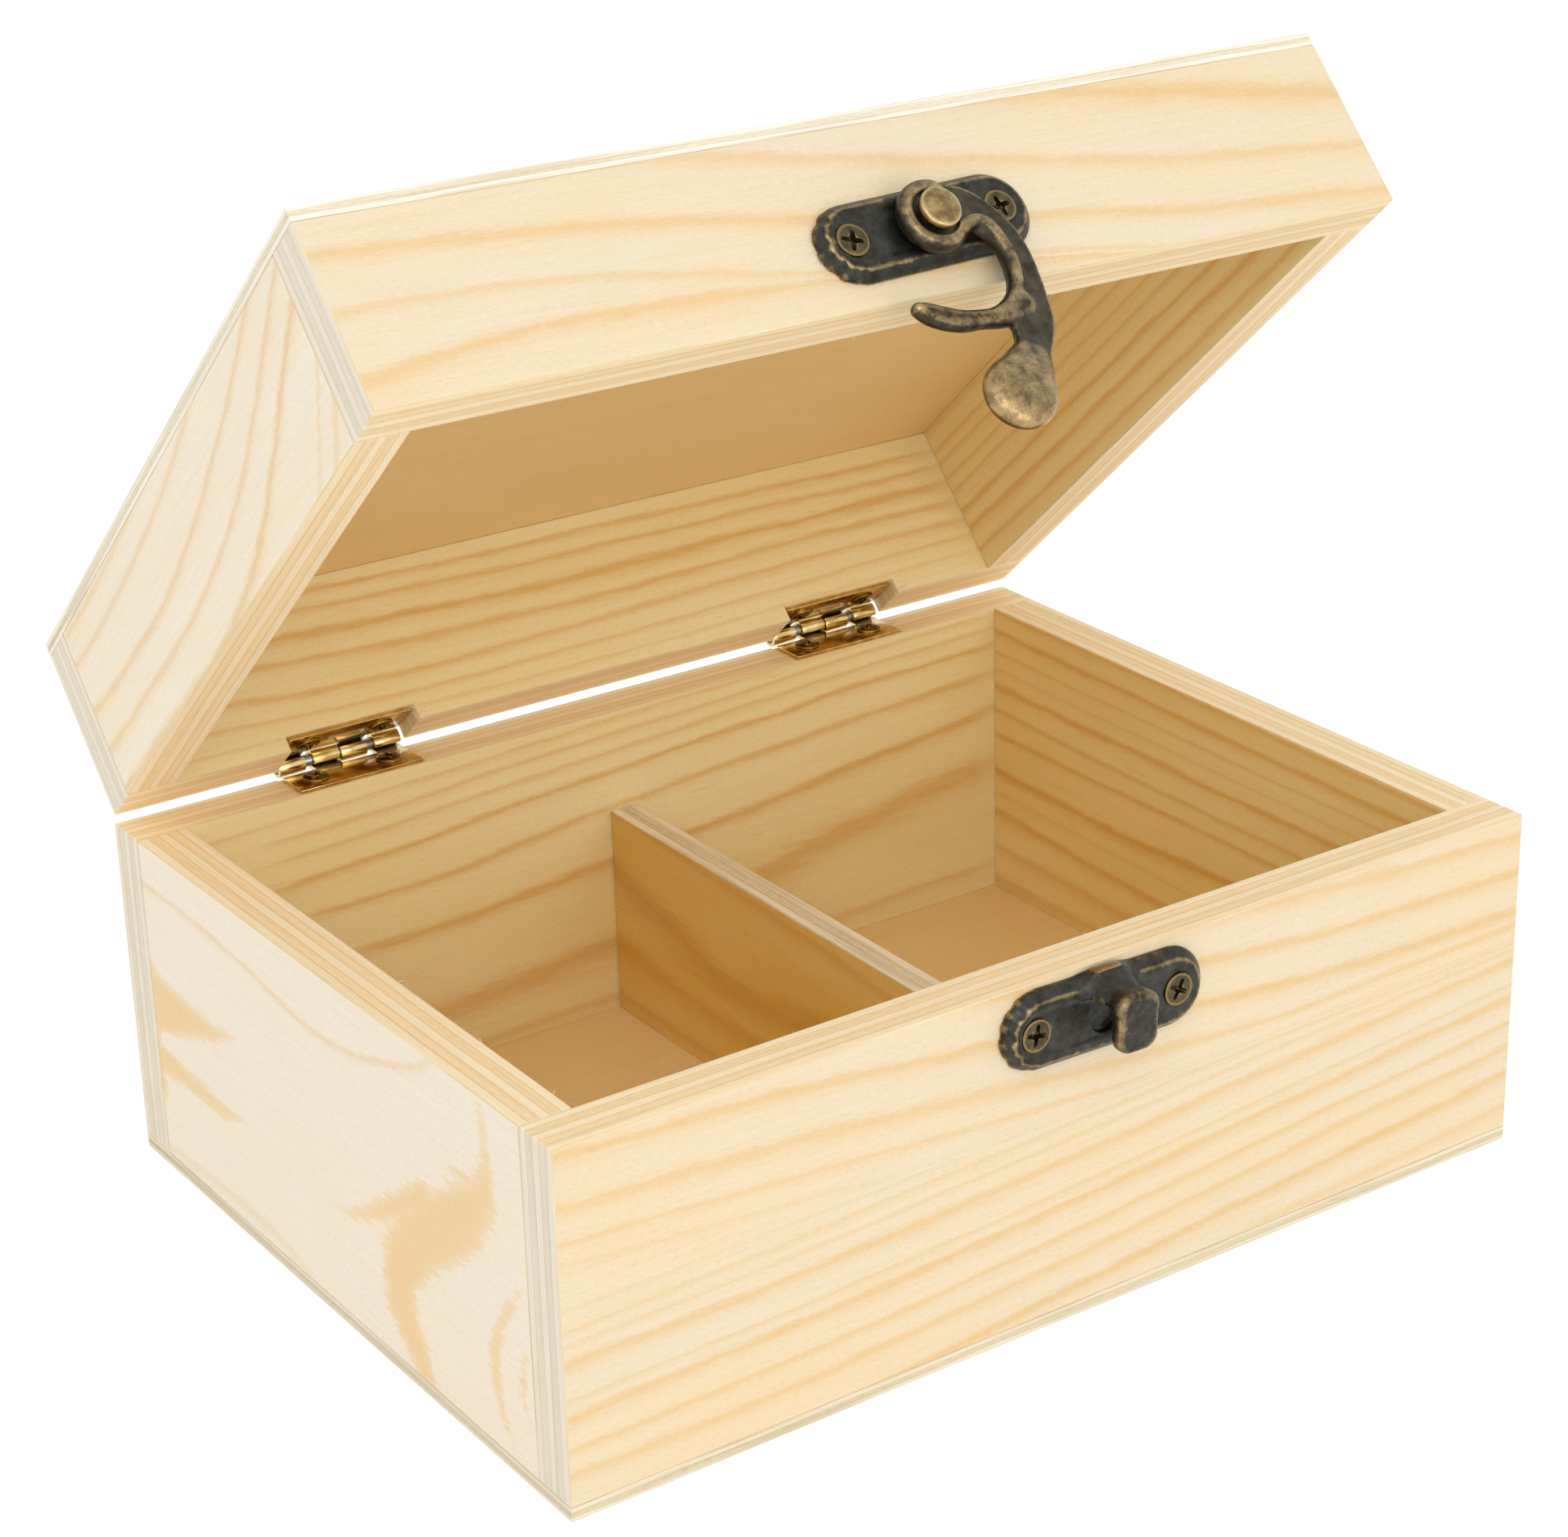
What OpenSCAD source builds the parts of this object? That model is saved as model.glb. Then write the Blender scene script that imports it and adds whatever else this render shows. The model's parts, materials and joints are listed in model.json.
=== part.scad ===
// A small plywood spice box with one divider, a hinged lid and a swing-hook latch.
// Millimetres, +Z up, +Y to the back. The origin is the middle of the underside.
// Every lid piece is written where it lies with the lid shut, then turned about the hinge axis.

/* [Box] */
// Width of the box, side to side
box_w = 160; // [130:1:220]
// Depth of the box, front to back
box_d = 120; // [90:1:160]
// Height of the base, from the table to its rim
base_h = 52; // [44:1:80]
// Height of the lid, from its rim to its top
lid_h = 27.7; // [25:0.1:45]
// Thickness of the plywood walls
wall_t = 7.5; // [7:0.1:10]
// Thickness of the thin sheets under the base and on the lid
sheet_t = 2; // [1.5:0.1:4]
// Gap between the two rims when the lid is shut
rim_gap = 0.3; // [0.2:0.1:0.6]
// Angle by which the lid is drawn open
lid_open = 42.5; // [0:0.5:180]

/* [Divider] */
// Thickness of the divider
divider_t = 4.8; // [3:0.1:8]
// Distance from the base's rim down to the top of the divider
divider_drop = 16.2; // [5:0.1:30]
// Place of the divider, to the right of the middle
divider_x = 0; // [-30:1:30]

/* [Hinges] */
// Distance of each hinge's middle from the middle of the box
hinge_x = 43.8; // [30:0.1:50]
// Length of a hinge along its pin
hinge_len = 20; // [17:0.5:26]
// Distance from the pin's axis to a leaf's free edge
leaf_w = 8.2; // [7.4:0.1:8.6]
// Thickness of a leaf
leaf_t = 0.7; // [0.5:0.05:0.8]
// Diameter of the knuckles
knuckle_d = 3.0; // [2.7:0.1:3.4]
// Diameter of the hinge pin
pin_d = 1.9; // [1.4:0.1:2]
// Distance of the pin's axis behind the back panel
axis_back = 1.2; // [1:0.1:1.8]
// Depth of the shallow recess that a leaf has in the base's rim
recess_d = 0.2; // [0.1:0.05:0.5]
// Gap between a knuckle pair, where the pin shows
knuckle_gap = 1.3; // [0.5:0.1:1.6]
// Gap between the two middle knuckles
middle_gap = 0.3; // [0.2:0.1:0.6]
// Room on each side of a leaf in its recess
recess_side = 0.5; // [0.2:0.1:1.5]
// Distance between the two screws of a leaf
hinge_screw_gap = 12; // [10:0.5:12.5]
// Distance of a leaf's screws from the pin's axis
hinge_screw_y = 4.9; // [4.5:0.1:5.5]
// Diameter of a hinge screw's domed head
dome_d = 3.9; // [3:0.1:4.2]
// Height of a hinge screw's domed head
dome_h = 0.65; // [0.4:0.05:0.7]
// Diameter of a hinge screw's shank
hinge_shank_d = 1.8; // [1.4:0.1:2.2]
// Length of a hinge screw in the wood
hinge_shank_len = 7; // [5:0.5:10]

/* [Latch plates] */
// Place of the latch, to the right of the middle
latch_x = 2.8; // [-10:0.1:10]
// Height of the hook's pivot above the lid's rim
pivot_up = 9.2; // [8:0.1:12]
// Length of the plates on the lid and on the base
plate_len = 33.5; // [32:0.5:38]
// Height of those plates
plate_h = 11.4; // [10.5:0.1:12]
// Thickness of those plates
plate_t = 2.2; // [2:0.1:3]
// Width of the slope round a plate's edge
plate_bevel = 1; // [0.5:0.1:1.5]
// Distance between a plate's two screws
plate_screw_gap = 23.8; // [21:0.1:24.5]
// Diameter of a plate screw's flat head
flat_head_d = 4.9; // [4.2:0.1:5.2]
// Diameter of a plate screw's shank
plate_shank_d = 2.4; // [2:0.1:3]
// Length of a plate screw in the wood
plate_shank_len = 6; // [4:0.5:6.5]

/* [Swing hook] */
// Thickness of the cast hook
hook_t = 2.4; // [2:0.1:2.8]
// Gap between the hook and what lies before or behind it
hook_gap = 0.3; // [0.2:0.05:0.4]
// Diameter of the hook's eye
eye_d = 10.2; // [9:0.1:11]
// Diameter of the rivet's shank
rivet_d = 3; // [2.5:0.1:3.5]
// Diameter of the rivet's head
rivet_head_d = 5.8; // [5:0.1:6.2]
// Height of the rivet's head
rivet_head_h = 1.3; // [1:0.1:1.6]
// Distance from the pivot to the near side of the finger
finger_r = 13.8; // [13:0.1:15]
// Width of the finger
finger_w = 2.9; // [2.4:0.1:3.2]
// Distance of the arm's middle line to the right of the pivot
arm_reach = 9.1; // [8.6:0.1:10]
// Width of the arm
arm_w = 4.5; // [4:0.1:5]
// Distance of the weighted end below the pivot
ball_drop = 26.4; // [26:0.1:29]
// Diameter of the weighted end
ball_d = 10.6; // [9:0.1:11]
// Thickness of the weighted end
ball_t = 4.6; // [3.5:0.1:5]

/* [Catch] */
// Diameter of the catch's round boss
boss_d = 9.4; // [8.6:0.1:10]
// Thickness of the boss in front of the slot
boss_t = 2.2; // [1.8:0.1:3]
// Width of the slot behind the boss
slot_w = 4.3; // [4.2:0.1:5]
// Width of the bridge that holds the boss
bridge_w = 4.8; // [4:0.1:5.4]
// Height of the bridge's underside above the middle of the boss
bridge_up = 2.9; // [2.5:0.1:3.2]

/* [Hidden] */
$fn = 64;

// Clearances of pins, shanks and cuts
pin_clear = 0.05;
press_clear = 0.02;
cut_over = 1;

// Heights of the shut box, and the inner faces
lid_rim_z = base_h + rim_gap;
lid_top_z = lid_rim_z + lid_h;
inner_w = box_w - 2 * wall_t;
inner_d = box_d - 2 * wall_t;
front_y = -box_d / 2;
back_y = box_d / 2;
divider_top_z = base_h - divider_drop;

// The hinge axis, and the heights of the leaves from it
knuckle_r = knuckle_d / 2;
axis_y = back_y + axis_back;
axis_z = base_h - recess_d + knuckle_r;
leaf_edge = 1.35 * knuckle_r;
knuckle_len = (hinge_len - 2 * knuckle_gap - middle_gap) / 4;
lid_notch_d = axis_z + knuckle_r - lid_rim_z;
recess_len = hinge_len + 2 * recess_side;

// The latch
plate_r = plate_h / 2;
pivot_z = lid_rim_z + pivot_up;
hook_back = plate_t + hook_gap;
hook_front = hook_back + hook_t;
eye_rim_d = 0.6 * hook_t;
boss_r = boss_d / 2;
latched_r = finger_r - hook_gap;
bridge_z = pivot_z - sqrt(latched_r * latched_r - bridge_w * bridge_w / 4);
catch_z = bridge_z - bridge_up;
head_sunk = 0.05;

wood = "burlywood";
ply = "wheat";
brass = "goldenrod";
steel = "silver";
bronze = "dimgray";

// Turns what is written for a shut lid to where the open lid has it
module on_lid() {
    translate([0, axis_y, axis_z])
        rotate([-lid_open, 0, 0])
            translate([0, -axis_y, -axis_z])
                children();
}

// Places what is drawn flat on a front face: its x to the right, its y up, its z out of the face
module on_front(x, z) {
    translate([x, front_y, z])
        rotate([90, 0, 0])
            children();
}

module box_between(low, high) {
    translate(low)
        cube(high - low);
}

// A wall across the whole width of the box, from its outer face inwards
module wide_wall(y, z_low, z_high) {
    box_between([-box_w / 2, y, z_low], [box_w / 2, y + wall_t, z_high]);
}

// A side wall between the front and the back walls
module side_wall(x, z_low, z_high) {
    box_between([x, -inner_d / 2, z_low], [x + wall_t, inner_d / 2, z_high]);
}

// Pilot holes for the two screws of a latch plate
module plate_pilots(z) {
    on_front(latch_x, z)
        for (side = [-1, 1])
            translate([side * plate_screw_gap / 2, 0, -plate_shank_len])
                cylinder(h = plate_shank_len + cut_over, r = plate_shank_d / 2 + press_clear);
}

// Pilot holes for the two screws of a leaf, away from the axis on its side
module leaf_pilots(side) {
    for (x = [-hinge_x, hinge_x], end = [-1, 1])
        translate([x + end * hinge_screw_gap / 2, axis_y - hinge_screw_y, axis_z])
            mirror([0, 0, side > 0 ? 0 : 1])
                cylinder(h = knuckle_r + hinge_shank_len, r = hinge_shank_d / 2 + press_clear);
}

// Base

module base_front_panel() {
    color(wood)
        difference() {
            wide_wall(front_y, sheet_t, base_h);
            plate_pilots(catch_z);
        }
}

module base_back_panel() {
    color(wood)
        difference() {
            wide_wall(back_y - wall_t, sheet_t, base_h);
            for (x = [-hinge_x, hinge_x])
                box_between([x - recess_len / 2, axis_y - leaf_w, base_h - recess_d],
                            [x + recess_len / 2, back_y + cut_over, base_h + cut_over]);
            leaf_pilots(-1);
        }
}

module base_left_panel() {
    color(wood)
        side_wall(-box_w / 2, sheet_t, base_h);
}

module base_right_panel() {
    color(wood)
        side_wall(box_w / 2 - wall_t, sheet_t, base_h);
}

module base_bottom_sheet() {
    color(ply)
        box_between([-box_w / 2, front_y, 0], [box_w / 2, back_y, sheet_t]);
}

module divider() {
    color(wood)
        box_between([divider_x - divider_t / 2, -inner_d / 2, sheet_t],
                    [divider_x + divider_t / 2, inner_d / 2, divider_top_z]);
}

// Lid

module lid_front_panel() {
    color(wood)
        on_lid()
            difference() {
                wide_wall(front_y, lid_rim_z, lid_top_z - sheet_t);
                plate_pilots(pivot_z);
            }
}

module lid_back_panel() {
    color(wood)
        on_lid()
            difference() {
                wide_wall(back_y - wall_t, lid_rim_z, lid_top_z - sheet_t);
                for (x = [-hinge_x, hinge_x])
                    box_between([x - recess_len / 2, back_y - wall_t - cut_over, lid_rim_z - cut_over],
                                [x + recess_len / 2, back_y + cut_over, lid_rim_z + lid_notch_d]);
                leaf_pilots(1);
            }
}

module lid_left_panel() {
    color(wood)
        on_lid()
            side_wall(-box_w / 2, lid_rim_z, lid_top_z - sheet_t);
}

module lid_right_panel() {
    color(wood)
        on_lid()
            side_wall(box_w / 2 - wall_t, lid_rim_z, lid_top_z - sheet_t);
}

module lid_top_sheet() {
    color(ply)
        on_lid()
            box_between([-box_w / 2, front_y, lid_top_z - sheet_t], [box_w / 2, back_y, lid_top_z]);
}

// Hinges: the leaf of the base carries the second and fourth knuckles, the lid's the other two

function knuckle_start(i) =
    -hinge_len / 2 + i * knuckle_len + (i > 0 ? knuckle_gap : 0)
    + (i > 1 ? middle_gap : 0) + (i > 2 ? knuckle_gap : 0);

// A leaf with its knuckles, below the axis. The axis is its origin.
module leaf(knuckles, bore_clear) {
    difference() {
        union() {
            box_between([-hinge_len / 2, -leaf_w, -knuckle_r],
                        [hinge_len / 2, -leaf_edge, leaf_t - knuckle_r]);
            for (i = knuckles) {
                box_between([knuckle_start(i), -leaf_edge, -knuckle_r],
                            [knuckle_start(i) + knuckle_len, 0, leaf_t - knuckle_r]);
                translate([knuckle_start(i), 0, 0])
                    rotate([0, 90, 0])
                        cylinder(h = knuckle_len, r = knuckle_r);
            }
        }
        translate([-hinge_len / 2 - cut_over, 0, 0])
            rotate([0, 90, 0])
                cylinder(h = hinge_len + 2 * cut_over, r = pin_d / 2 + bore_clear);
        for (end = [-1, 1])
            translate([end * hinge_screw_gap / 2, -hinge_screw_y, -knuckle_r - cut_over])
                cylinder(h = leaf_t + 2 * cut_over, r = hinge_shank_d / 2 + press_clear);
    }
}

module base_leaf(x) {
    color(brass)
        translate([x, axis_y, axis_z])
            leaf([1, 3], press_clear);
}

module lid_leaf(x) {
    color(brass)
        on_lid()
            translate([x, axis_y, axis_z])
                mirror([0, 0, 1])
                    leaf([0, 2], pin_clear);
}

module hinge_pin(x) {
    color(steel)
        translate([x - hinge_len / 2, axis_y, axis_z])
            rotate([0, 90, 0])
                cylinder(h = hinge_len, r = pin_d / 2);
}

// The crossed slot in a screw's head, cut down from z = 0
module cross_slot(size, depth) {
    arm = size * 0.28;
    for (turn = [0, 90])
        rotate([0, 0, turn])
            box_between([-size / 2, -arm / 2, -depth], [size / 2, arm / 2, cut_over]);
}

// A dome-head screw: its head sits on z = 0 and its shank points down
module dome_screw() {
    head_r = dome_d / 2;
    ball_r = (head_r * head_r + dome_h * dome_h) / (2 * dome_h);
    difference() {
        union() {
            intersection() {
                translate([0, 0, dome_h - ball_r])
                    sphere(r = ball_r);
                cylinder(h = dome_h, r = head_r);
            }
            translate([0, 0, -leaf_t - hinge_shank_len])
                cylinder(h = leaf_t + hinge_shank_len, r = hinge_shank_d / 2);
        }
        translate([0, 0, dome_h])
            cross_slot(dome_d * 0.5, dome_h * 0.8);
    }
}

module leaf_screws(x) {
    for (end = [-1, 1])
        translate([x + end * hinge_screw_gap / 2, axis_y - hinge_screw_y, axis_z])
            translate([0, 0, leaf_t - knuckle_r])
                dome_screw();
}

module base_screws(x) {
    color(brass)
        leaf_screws(x);
}

module lid_screws(x) {
    color(brass)
        on_lid()
            translate([0, 0, 2 * axis_z])
                mirror([0, 0, 1])
                    leaf_screws(x);
}

module left_hinge_base_leaf() base_leaf(-hinge_x);
module left_hinge_lid_leaf() lid_leaf(-hinge_x);
module left_hinge_pin() hinge_pin(-hinge_x);
module left_hinge_base_screws() base_screws(-hinge_x);
module left_hinge_lid_screws() lid_screws(-hinge_x);
module right_hinge_base_leaf() base_leaf(hinge_x);
module right_hinge_lid_leaf() lid_leaf(hinge_x);
module right_hinge_pin() hinge_pin(hinge_x);
module right_hinge_base_screws() base_screws(hinge_x);
module right_hinge_lid_screws() lid_screws(hinge_x);

// Latch plates

countersink_d = 0.62 * (flat_head_d - plate_shank_d);
flat_head_z = plate_t - head_sunk;

// A plate with round ends and a sloping edge, its back on z = 0
module round_plate() {
    straight = plate_len - plate_h;
    skirt = plate_t - plate_bevel;
    box_between([-straight / 2, -plate_r, 0], [straight / 2, plate_r, skirt]);
    translate([-straight / 2, 0, skirt])
        rotate([90, 0, 90])
            linear_extrude(straight)
                polygon([[-plate_r, 0], [plate_r, 0],
                         [plate_r - plate_bevel, plate_bevel], [plate_bevel - plate_r, plate_bevel]]);
    for (end = [-1, 1])
        translate([end * straight / 2, 0, 0]) {
            cylinder(h = skirt, r = plate_r);
            translate([0, 0, skirt])
                cylinder(h = plate_bevel, r1 = plate_r, r2 = plate_r - plate_bevel);
        }
}

// What a flat-head screw takes out of a plate: a bore and a cone
module countersink(clear) {
    translate([0, 0, -cut_over])
        cylinder(h = plate_t + 2 * cut_over, r = plate_shank_d / 2 + clear);
    translate([0, 0, flat_head_z - countersink_d])
        cylinder(h = countersink_d, r1 = plate_shank_d / 2 + clear, r2 = flat_head_d / 2 + clear);
    translate([0, 0, flat_head_z])
        cylinder(h = cut_over, r = flat_head_d / 2 + clear);
}

module plate_with_holes() {
    difference() {
        round_plate();
        for (side = [-1, 1])
            translate([side * plate_screw_gap / 2, 0, 0])
                countersink(press_clear);
    }
}

module flat_screw() {
    cone_z = flat_head_z - countersink_d;
    difference() {
        union() {
            translate([0, 0, -plate_shank_len])
                cylinder(h = plate_shank_len + cone_z, r = plate_shank_d / 2);
            translate([0, 0, cone_z])
                cylinder(h = countersink_d, r1 = plate_shank_d / 2, r2 = flat_head_d / 2);
        }
        translate([0, 0, flat_head_z])
            cross_slot(flat_head_d * 0.55, countersink_d * 0.7);
    }
}

module plate_screws() {
    for (side = [-1, 1])
        translate([side * plate_screw_gap / 2, 0, 0])
            flat_screw();
}

module latch_plate() {
    color(bronze)
        on_lid()
            on_front(latch_x, pivot_z)
                difference() {
                    plate_with_holes();
                    translate([0, 0, -cut_over])
                        cylinder(h = plate_t + 2 * cut_over, r = rivet_d / 2 + press_clear);
                }
}

module latch_plate_screws() {
    color(bronze)
        on_lid()
            on_front(latch_x, pivot_z)
                plate_screws();
}

// The rivet: a shank through plate and hook, and a low domed head
module latch_rivet() {
    head_r = rivet_head_d / 2;
    ball_r = (head_r * head_r + rivet_head_h * rivet_head_h) / (2 * rivet_head_h);
    head_z = hook_front + hook_gap;
    color(bronze)
        on_lid()
            on_front(latch_x, pivot_z) {
                cylinder(h = head_z, r = rivet_d / 2);
                translate([0, 0, head_z])
                    intersection() {
                        translate([0, 0, rivet_head_h - ball_r])
                            sphere(r = ball_r);
                        cylinder(h = rivet_head_h, r = head_r);
                    }
            }
}

// Swing hook: its outline is drawn from the pivot, as it hangs when it is latched

// The arm's middle line and its width at each point, from the eye down to the weighted end
arm_line = [
    [0.15 * eye_d, 0.12 * eye_d, 1.33 * arm_w],
    [0.57 * arm_reach, 0, 1.1 * arm_w],
    [0.89 * arm_reach, -0.21 * finger_r, arm_w],
    [arm_reach, -0.5 * finger_r, arm_w],
    [arm_reach, -0.76 * finger_r, 1.1 * arm_w],
    [0.9 * arm_reach, -finger_r, 1.25 * arm_w],
    [0.81 * arm_reach, -finger_r - 1.2 * finger_w, 1.25 * arm_w],
    [0.62 * arm_reach, 0.55 * ball_d - ball_drop, arm_w],
    [0.16 * arm_reach, 0.1 * ball_d - ball_drop, 0.9 * arm_w]
];
line_steps = 5;

// A smooth curve through four points, at t between the middle two
function smooth(a, b, c, d, t) =
    b + 0.5 * t * (c - a + t * (2 * a - 5 * b + 4 * c - d + t * (3 * (b - c) + d - a)));
function at(list, i) = list[max(0, min(len(list) - 1, i))];
function along(list, i, t) = smooth(at(list, i - 1), at(list, i), at(list, i + 1), at(list, i + 2), t);
function smooth_line(list, steps) = concat(
    [for (i = [0 : len(list) - 2], k = [0 : steps - 1]) along(list, i, k / steps)],
    [list[len(list) - 1]]);

// The outline at half the width to each side of a line
function side_of(p, q, side) =
    let (run = [q[0] - p[0], q[1] - p[1]], step = run / norm(run))
    [(p[0] + q[0]) / 2, (p[1] + q[1]) / 2] + side * (p[2] + q[2]) / 4 * [-step[1], step[0]];
function outline(line) = concat(
    [for (i = [0 : len(line) - 2]) side_of(line[i], line[i + 1], 1)],
    [for (i = [len(line) - 2 : -1 : 0]) side_of(line[i], line[i + 1], -1)]);

function arc(r, from, to, steps) =
    [for (k = [0 : steps]) let (a = from + (to - from) * k / steps) r * [cos(a), sin(a)]];

finger_tip_angle = 234;
finger_root_angle = 296;
finger_steps = 16;

module finger() {
    middle_r = finger_r + finger_w / 2;
    linear_extrude(hook_t)
        polygon(concat(arc(finger_r, finger_tip_angle, finger_root_angle, finger_steps),
                       arc(finger_r + finger_w, finger_root_angle, finger_tip_angle, finger_steps)));
    translate(middle_r * [cos(finger_tip_angle), sin(finger_tip_angle)])
        cylinder(h = hook_t, r = finger_w / 2);
}

module weighted_end() {
    head_r = ball_d / 2;
    ball_r = (head_r * head_r + ball_t * ball_t) / (2 * ball_t);
    translate([-0.03 * ball_d, -ball_drop, 0])
        intersection() {
            translate([0, 0, ball_t - ball_r])
                sphere(r = ball_r);
            cylinder(h = ball_t, r = head_r);
        }
}

module hook_body() {
    difference() {
        union() {
            cylinder(h = hook_t - eye_rim_d / 4, r = eye_d / 2);
            linear_extrude(hook_t)
                polygon(outline(smooth_line(arm_line, line_steps)));
            finger();
            weighted_end();
        }
        translate([0, 0, -cut_over])
            cylinder(h = hook_t + 2 * cut_over, r = rivet_d / 2 + pin_clear);
        translate([0, 0, hook_t - eye_rim_d / 2])
            cylinder(h = hook_t, r = rivet_head_d / 2 + hook_gap);
    }
}

module latch_hook() {
    color(bronze)
        on_lid()
            on_front(latch_x, pivot_z)
                translate([0, 0, hook_back])
                    hook_body();
}

// Catch: the latched finger lies in the slot between plate and boss, under the bridge

module catch_boss() {
    rim = 0.05 * boss_d;
    translate([0, 0, plate_t + slot_w])
        rotate_extrude()
            polygon([[0, 0], [boss_r - rim, 0], [boss_r, rim], [boss_r, boss_t - 2 * rim],
                     [boss_r - rim, boss_t - rim / 2], [boss_r - 3 * rim, boss_t], [0, boss_t]]);
    intersection() {
        translate([0, 0, plate_t - head_sunk])
            cylinder(h = slot_w + 2 * head_sunk, r = boss_r);
        box_between([-bridge_w / 2, bridge_up, 0], [bridge_w / 2, boss_r, plate_t + slot_w + boss_t]);
    }
}

module catch_plate() {
    color(bronze)
        on_front(latch_x, catch_z) {
            plate_with_holes();
            catch_boss();
        }
}

module catch_plate_screws() {
    color(bronze)
        on_front(latch_x, catch_z)
            plate_screws();
}

base_front_panel();
base_back_panel();
base_left_panel();
base_right_panel();
base_bottom_sheet();
divider();
lid_front_panel();
lid_back_panel();
lid_left_panel();
lid_right_panel();
lid_top_sheet();
left_hinge_base_leaf();
left_hinge_lid_leaf();
left_hinge_pin();
left_hinge_base_screws();
left_hinge_lid_screws();
right_hinge_base_leaf();
right_hinge_lid_leaf();
right_hinge_pin();
right_hinge_base_screws();
right_hinge_lid_screws();
latch_plate();
latch_plate_screws();
latch_rivet();
latch_hook();
catch_plate();
catch_plate_screws();
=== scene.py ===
import json
import math

import bmesh
import bpy
import numpy as np
from mathutils import Matrix, Vector


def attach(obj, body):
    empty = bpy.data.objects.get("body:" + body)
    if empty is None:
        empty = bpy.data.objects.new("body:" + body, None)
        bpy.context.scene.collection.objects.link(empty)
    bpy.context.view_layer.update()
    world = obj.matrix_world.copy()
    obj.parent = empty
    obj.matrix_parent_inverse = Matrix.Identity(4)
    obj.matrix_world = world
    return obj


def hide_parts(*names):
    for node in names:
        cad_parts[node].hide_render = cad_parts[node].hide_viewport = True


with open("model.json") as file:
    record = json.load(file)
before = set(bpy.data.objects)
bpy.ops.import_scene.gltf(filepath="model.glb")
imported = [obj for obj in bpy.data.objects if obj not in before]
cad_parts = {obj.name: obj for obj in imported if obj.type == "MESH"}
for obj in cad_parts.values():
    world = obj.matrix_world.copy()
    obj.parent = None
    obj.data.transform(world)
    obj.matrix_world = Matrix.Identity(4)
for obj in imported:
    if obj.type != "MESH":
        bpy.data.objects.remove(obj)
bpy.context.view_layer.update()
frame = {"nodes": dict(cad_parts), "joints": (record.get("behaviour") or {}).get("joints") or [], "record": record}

# ---------------------------------------------------------------------------
# Base front panel
# The wide front wall of the base, sawn from five-ply pine board. It runs the
# full width, covers the ends of the side walls and is glued to them.

MM = 0.001
BOARD_PLY = 1.5  # thickness of one ply of the wall board
EDGE_ROUND = 0.16  # sanded rounding on the edges of the board
RIM_Z = 52.0

lid_joint = next(j for j in frame["joints"] if j["name"] == "lid_hinge")
AXIS_Y, AXIS_Z = (v / MM for v in lid_joint["pos_m"][1:])
LID_OPEN = -math.radians(lid_joint["range_deg"][0])
BODY_OF = {n: b for b, ns in frame["record"]["behaviour"]["bodies"].items() for n in ns}


def turned(points, angle):
    """Points in millimetres, turned about the hinge axis; a positive angle opens the lid."""
    y, z = points[..., 1] - AXIS_Y, points[..., 2] - AXIS_Z
    c, s = math.cos(angle), math.sin(angle)
    return np.stack([points[..., 0], AXIS_Y + y * c + z * s, AXIS_Z - y * s + z * c], -1)


def shut_box(node):
    """Lowest and highest corner of a CAD node in millimetres, with the lid turned shut."""
    points = np.array([v.co for v in frame["nodes"][node].data.vertices]) / MM
    if BODY_OF[node] != "base":
        points = turned(points, -LID_OPEN)
    return points.min(0), points.max(0)


def finish_piece(name, points, faces, body, nodes, materials, marks=None, attributes=None, smooth=False):
    """A piece from points in shut-box millimetres. It is put on its body in place of its CAD nodes."""
    if body != "base":
        points = turned(points, LID_OPEN)
    mesh = bpy.data.meshes.new(name)
    mesh.from_pydata((points * MM).tolist(), [], faces if isinstance(faces, list) else faces.tolist())
    for material in materials:
        mesh.materials.append(material)
    if marks is not None:
        mesh.polygons.foreach_set("material_index", np.asarray(marks, np.int32))
    for key, values in (attributes or {}).items():
        kind, field = ("FLOAT_VECTOR", "vector") if values.ndim == 2 else ("FLOAT", "value")
        mesh.attributes.new(key, kind, "POINT").data.foreach_set(field, values.astype(np.float32).ravel())
    mesh.polygons.foreach_set("use_smooth", [smooth] * len(mesh.polygons))
    mesh.update()
    piece = bpy.data.objects.new(name, mesh)
    bpy.context.scene.collection.objects.link(piece)
    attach(piece, body)
    if nodes:
        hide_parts(*nodes)
    return piece


def colour(hex_value):
    """A linear RGBA colour from an sRGB hex value."""
    parts = [int(hex_value[i : i + 2], 16) / 255 for i in (1, 3, 5)]
    return (*(p / 12.92 if p <= 0.04045 else ((p + 0.055) / 1.055) ** 2.4 for p in parts), 1)


def add(tree, kind, sockets=None, stops=(), **settings):
    """One node with its settings. Each socket gets a plain value, or a link from a node or a socket; stops are
    the (position, colour) pairs of a colour ramp, where a plain number is a grey."""
    made = tree.nodes.new(kind)
    for key, value in settings.items():
        setattr(made, key, value)
    for key, value in (sockets or {}).items():
        if isinstance(value, bpy.types.Node):
            value = value.outputs[0]
        if isinstance(value, bpy.types.NodeSocket):
            tree.links.new(value, made.inputs[key])
        else:
            made.inputs[key].default_value = value
    for k, (position, value) in enumerate(stops):
        elements = made.color_ramp.elements
        element = elements[k] if k < 2 else elements.new(1.0)
        element.position = position
        element.color = (value, value, value, 1) if isinstance(value, (int, float)) else value
    return made


def new_material(name):
    """A material with its node tree and its shader."""
    material = bpy.data.materials.new(name)
    material.use_nodes = True
    tree = material.node_tree
    return material, tree, tree.nodes["Principled BSDF"]


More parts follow.
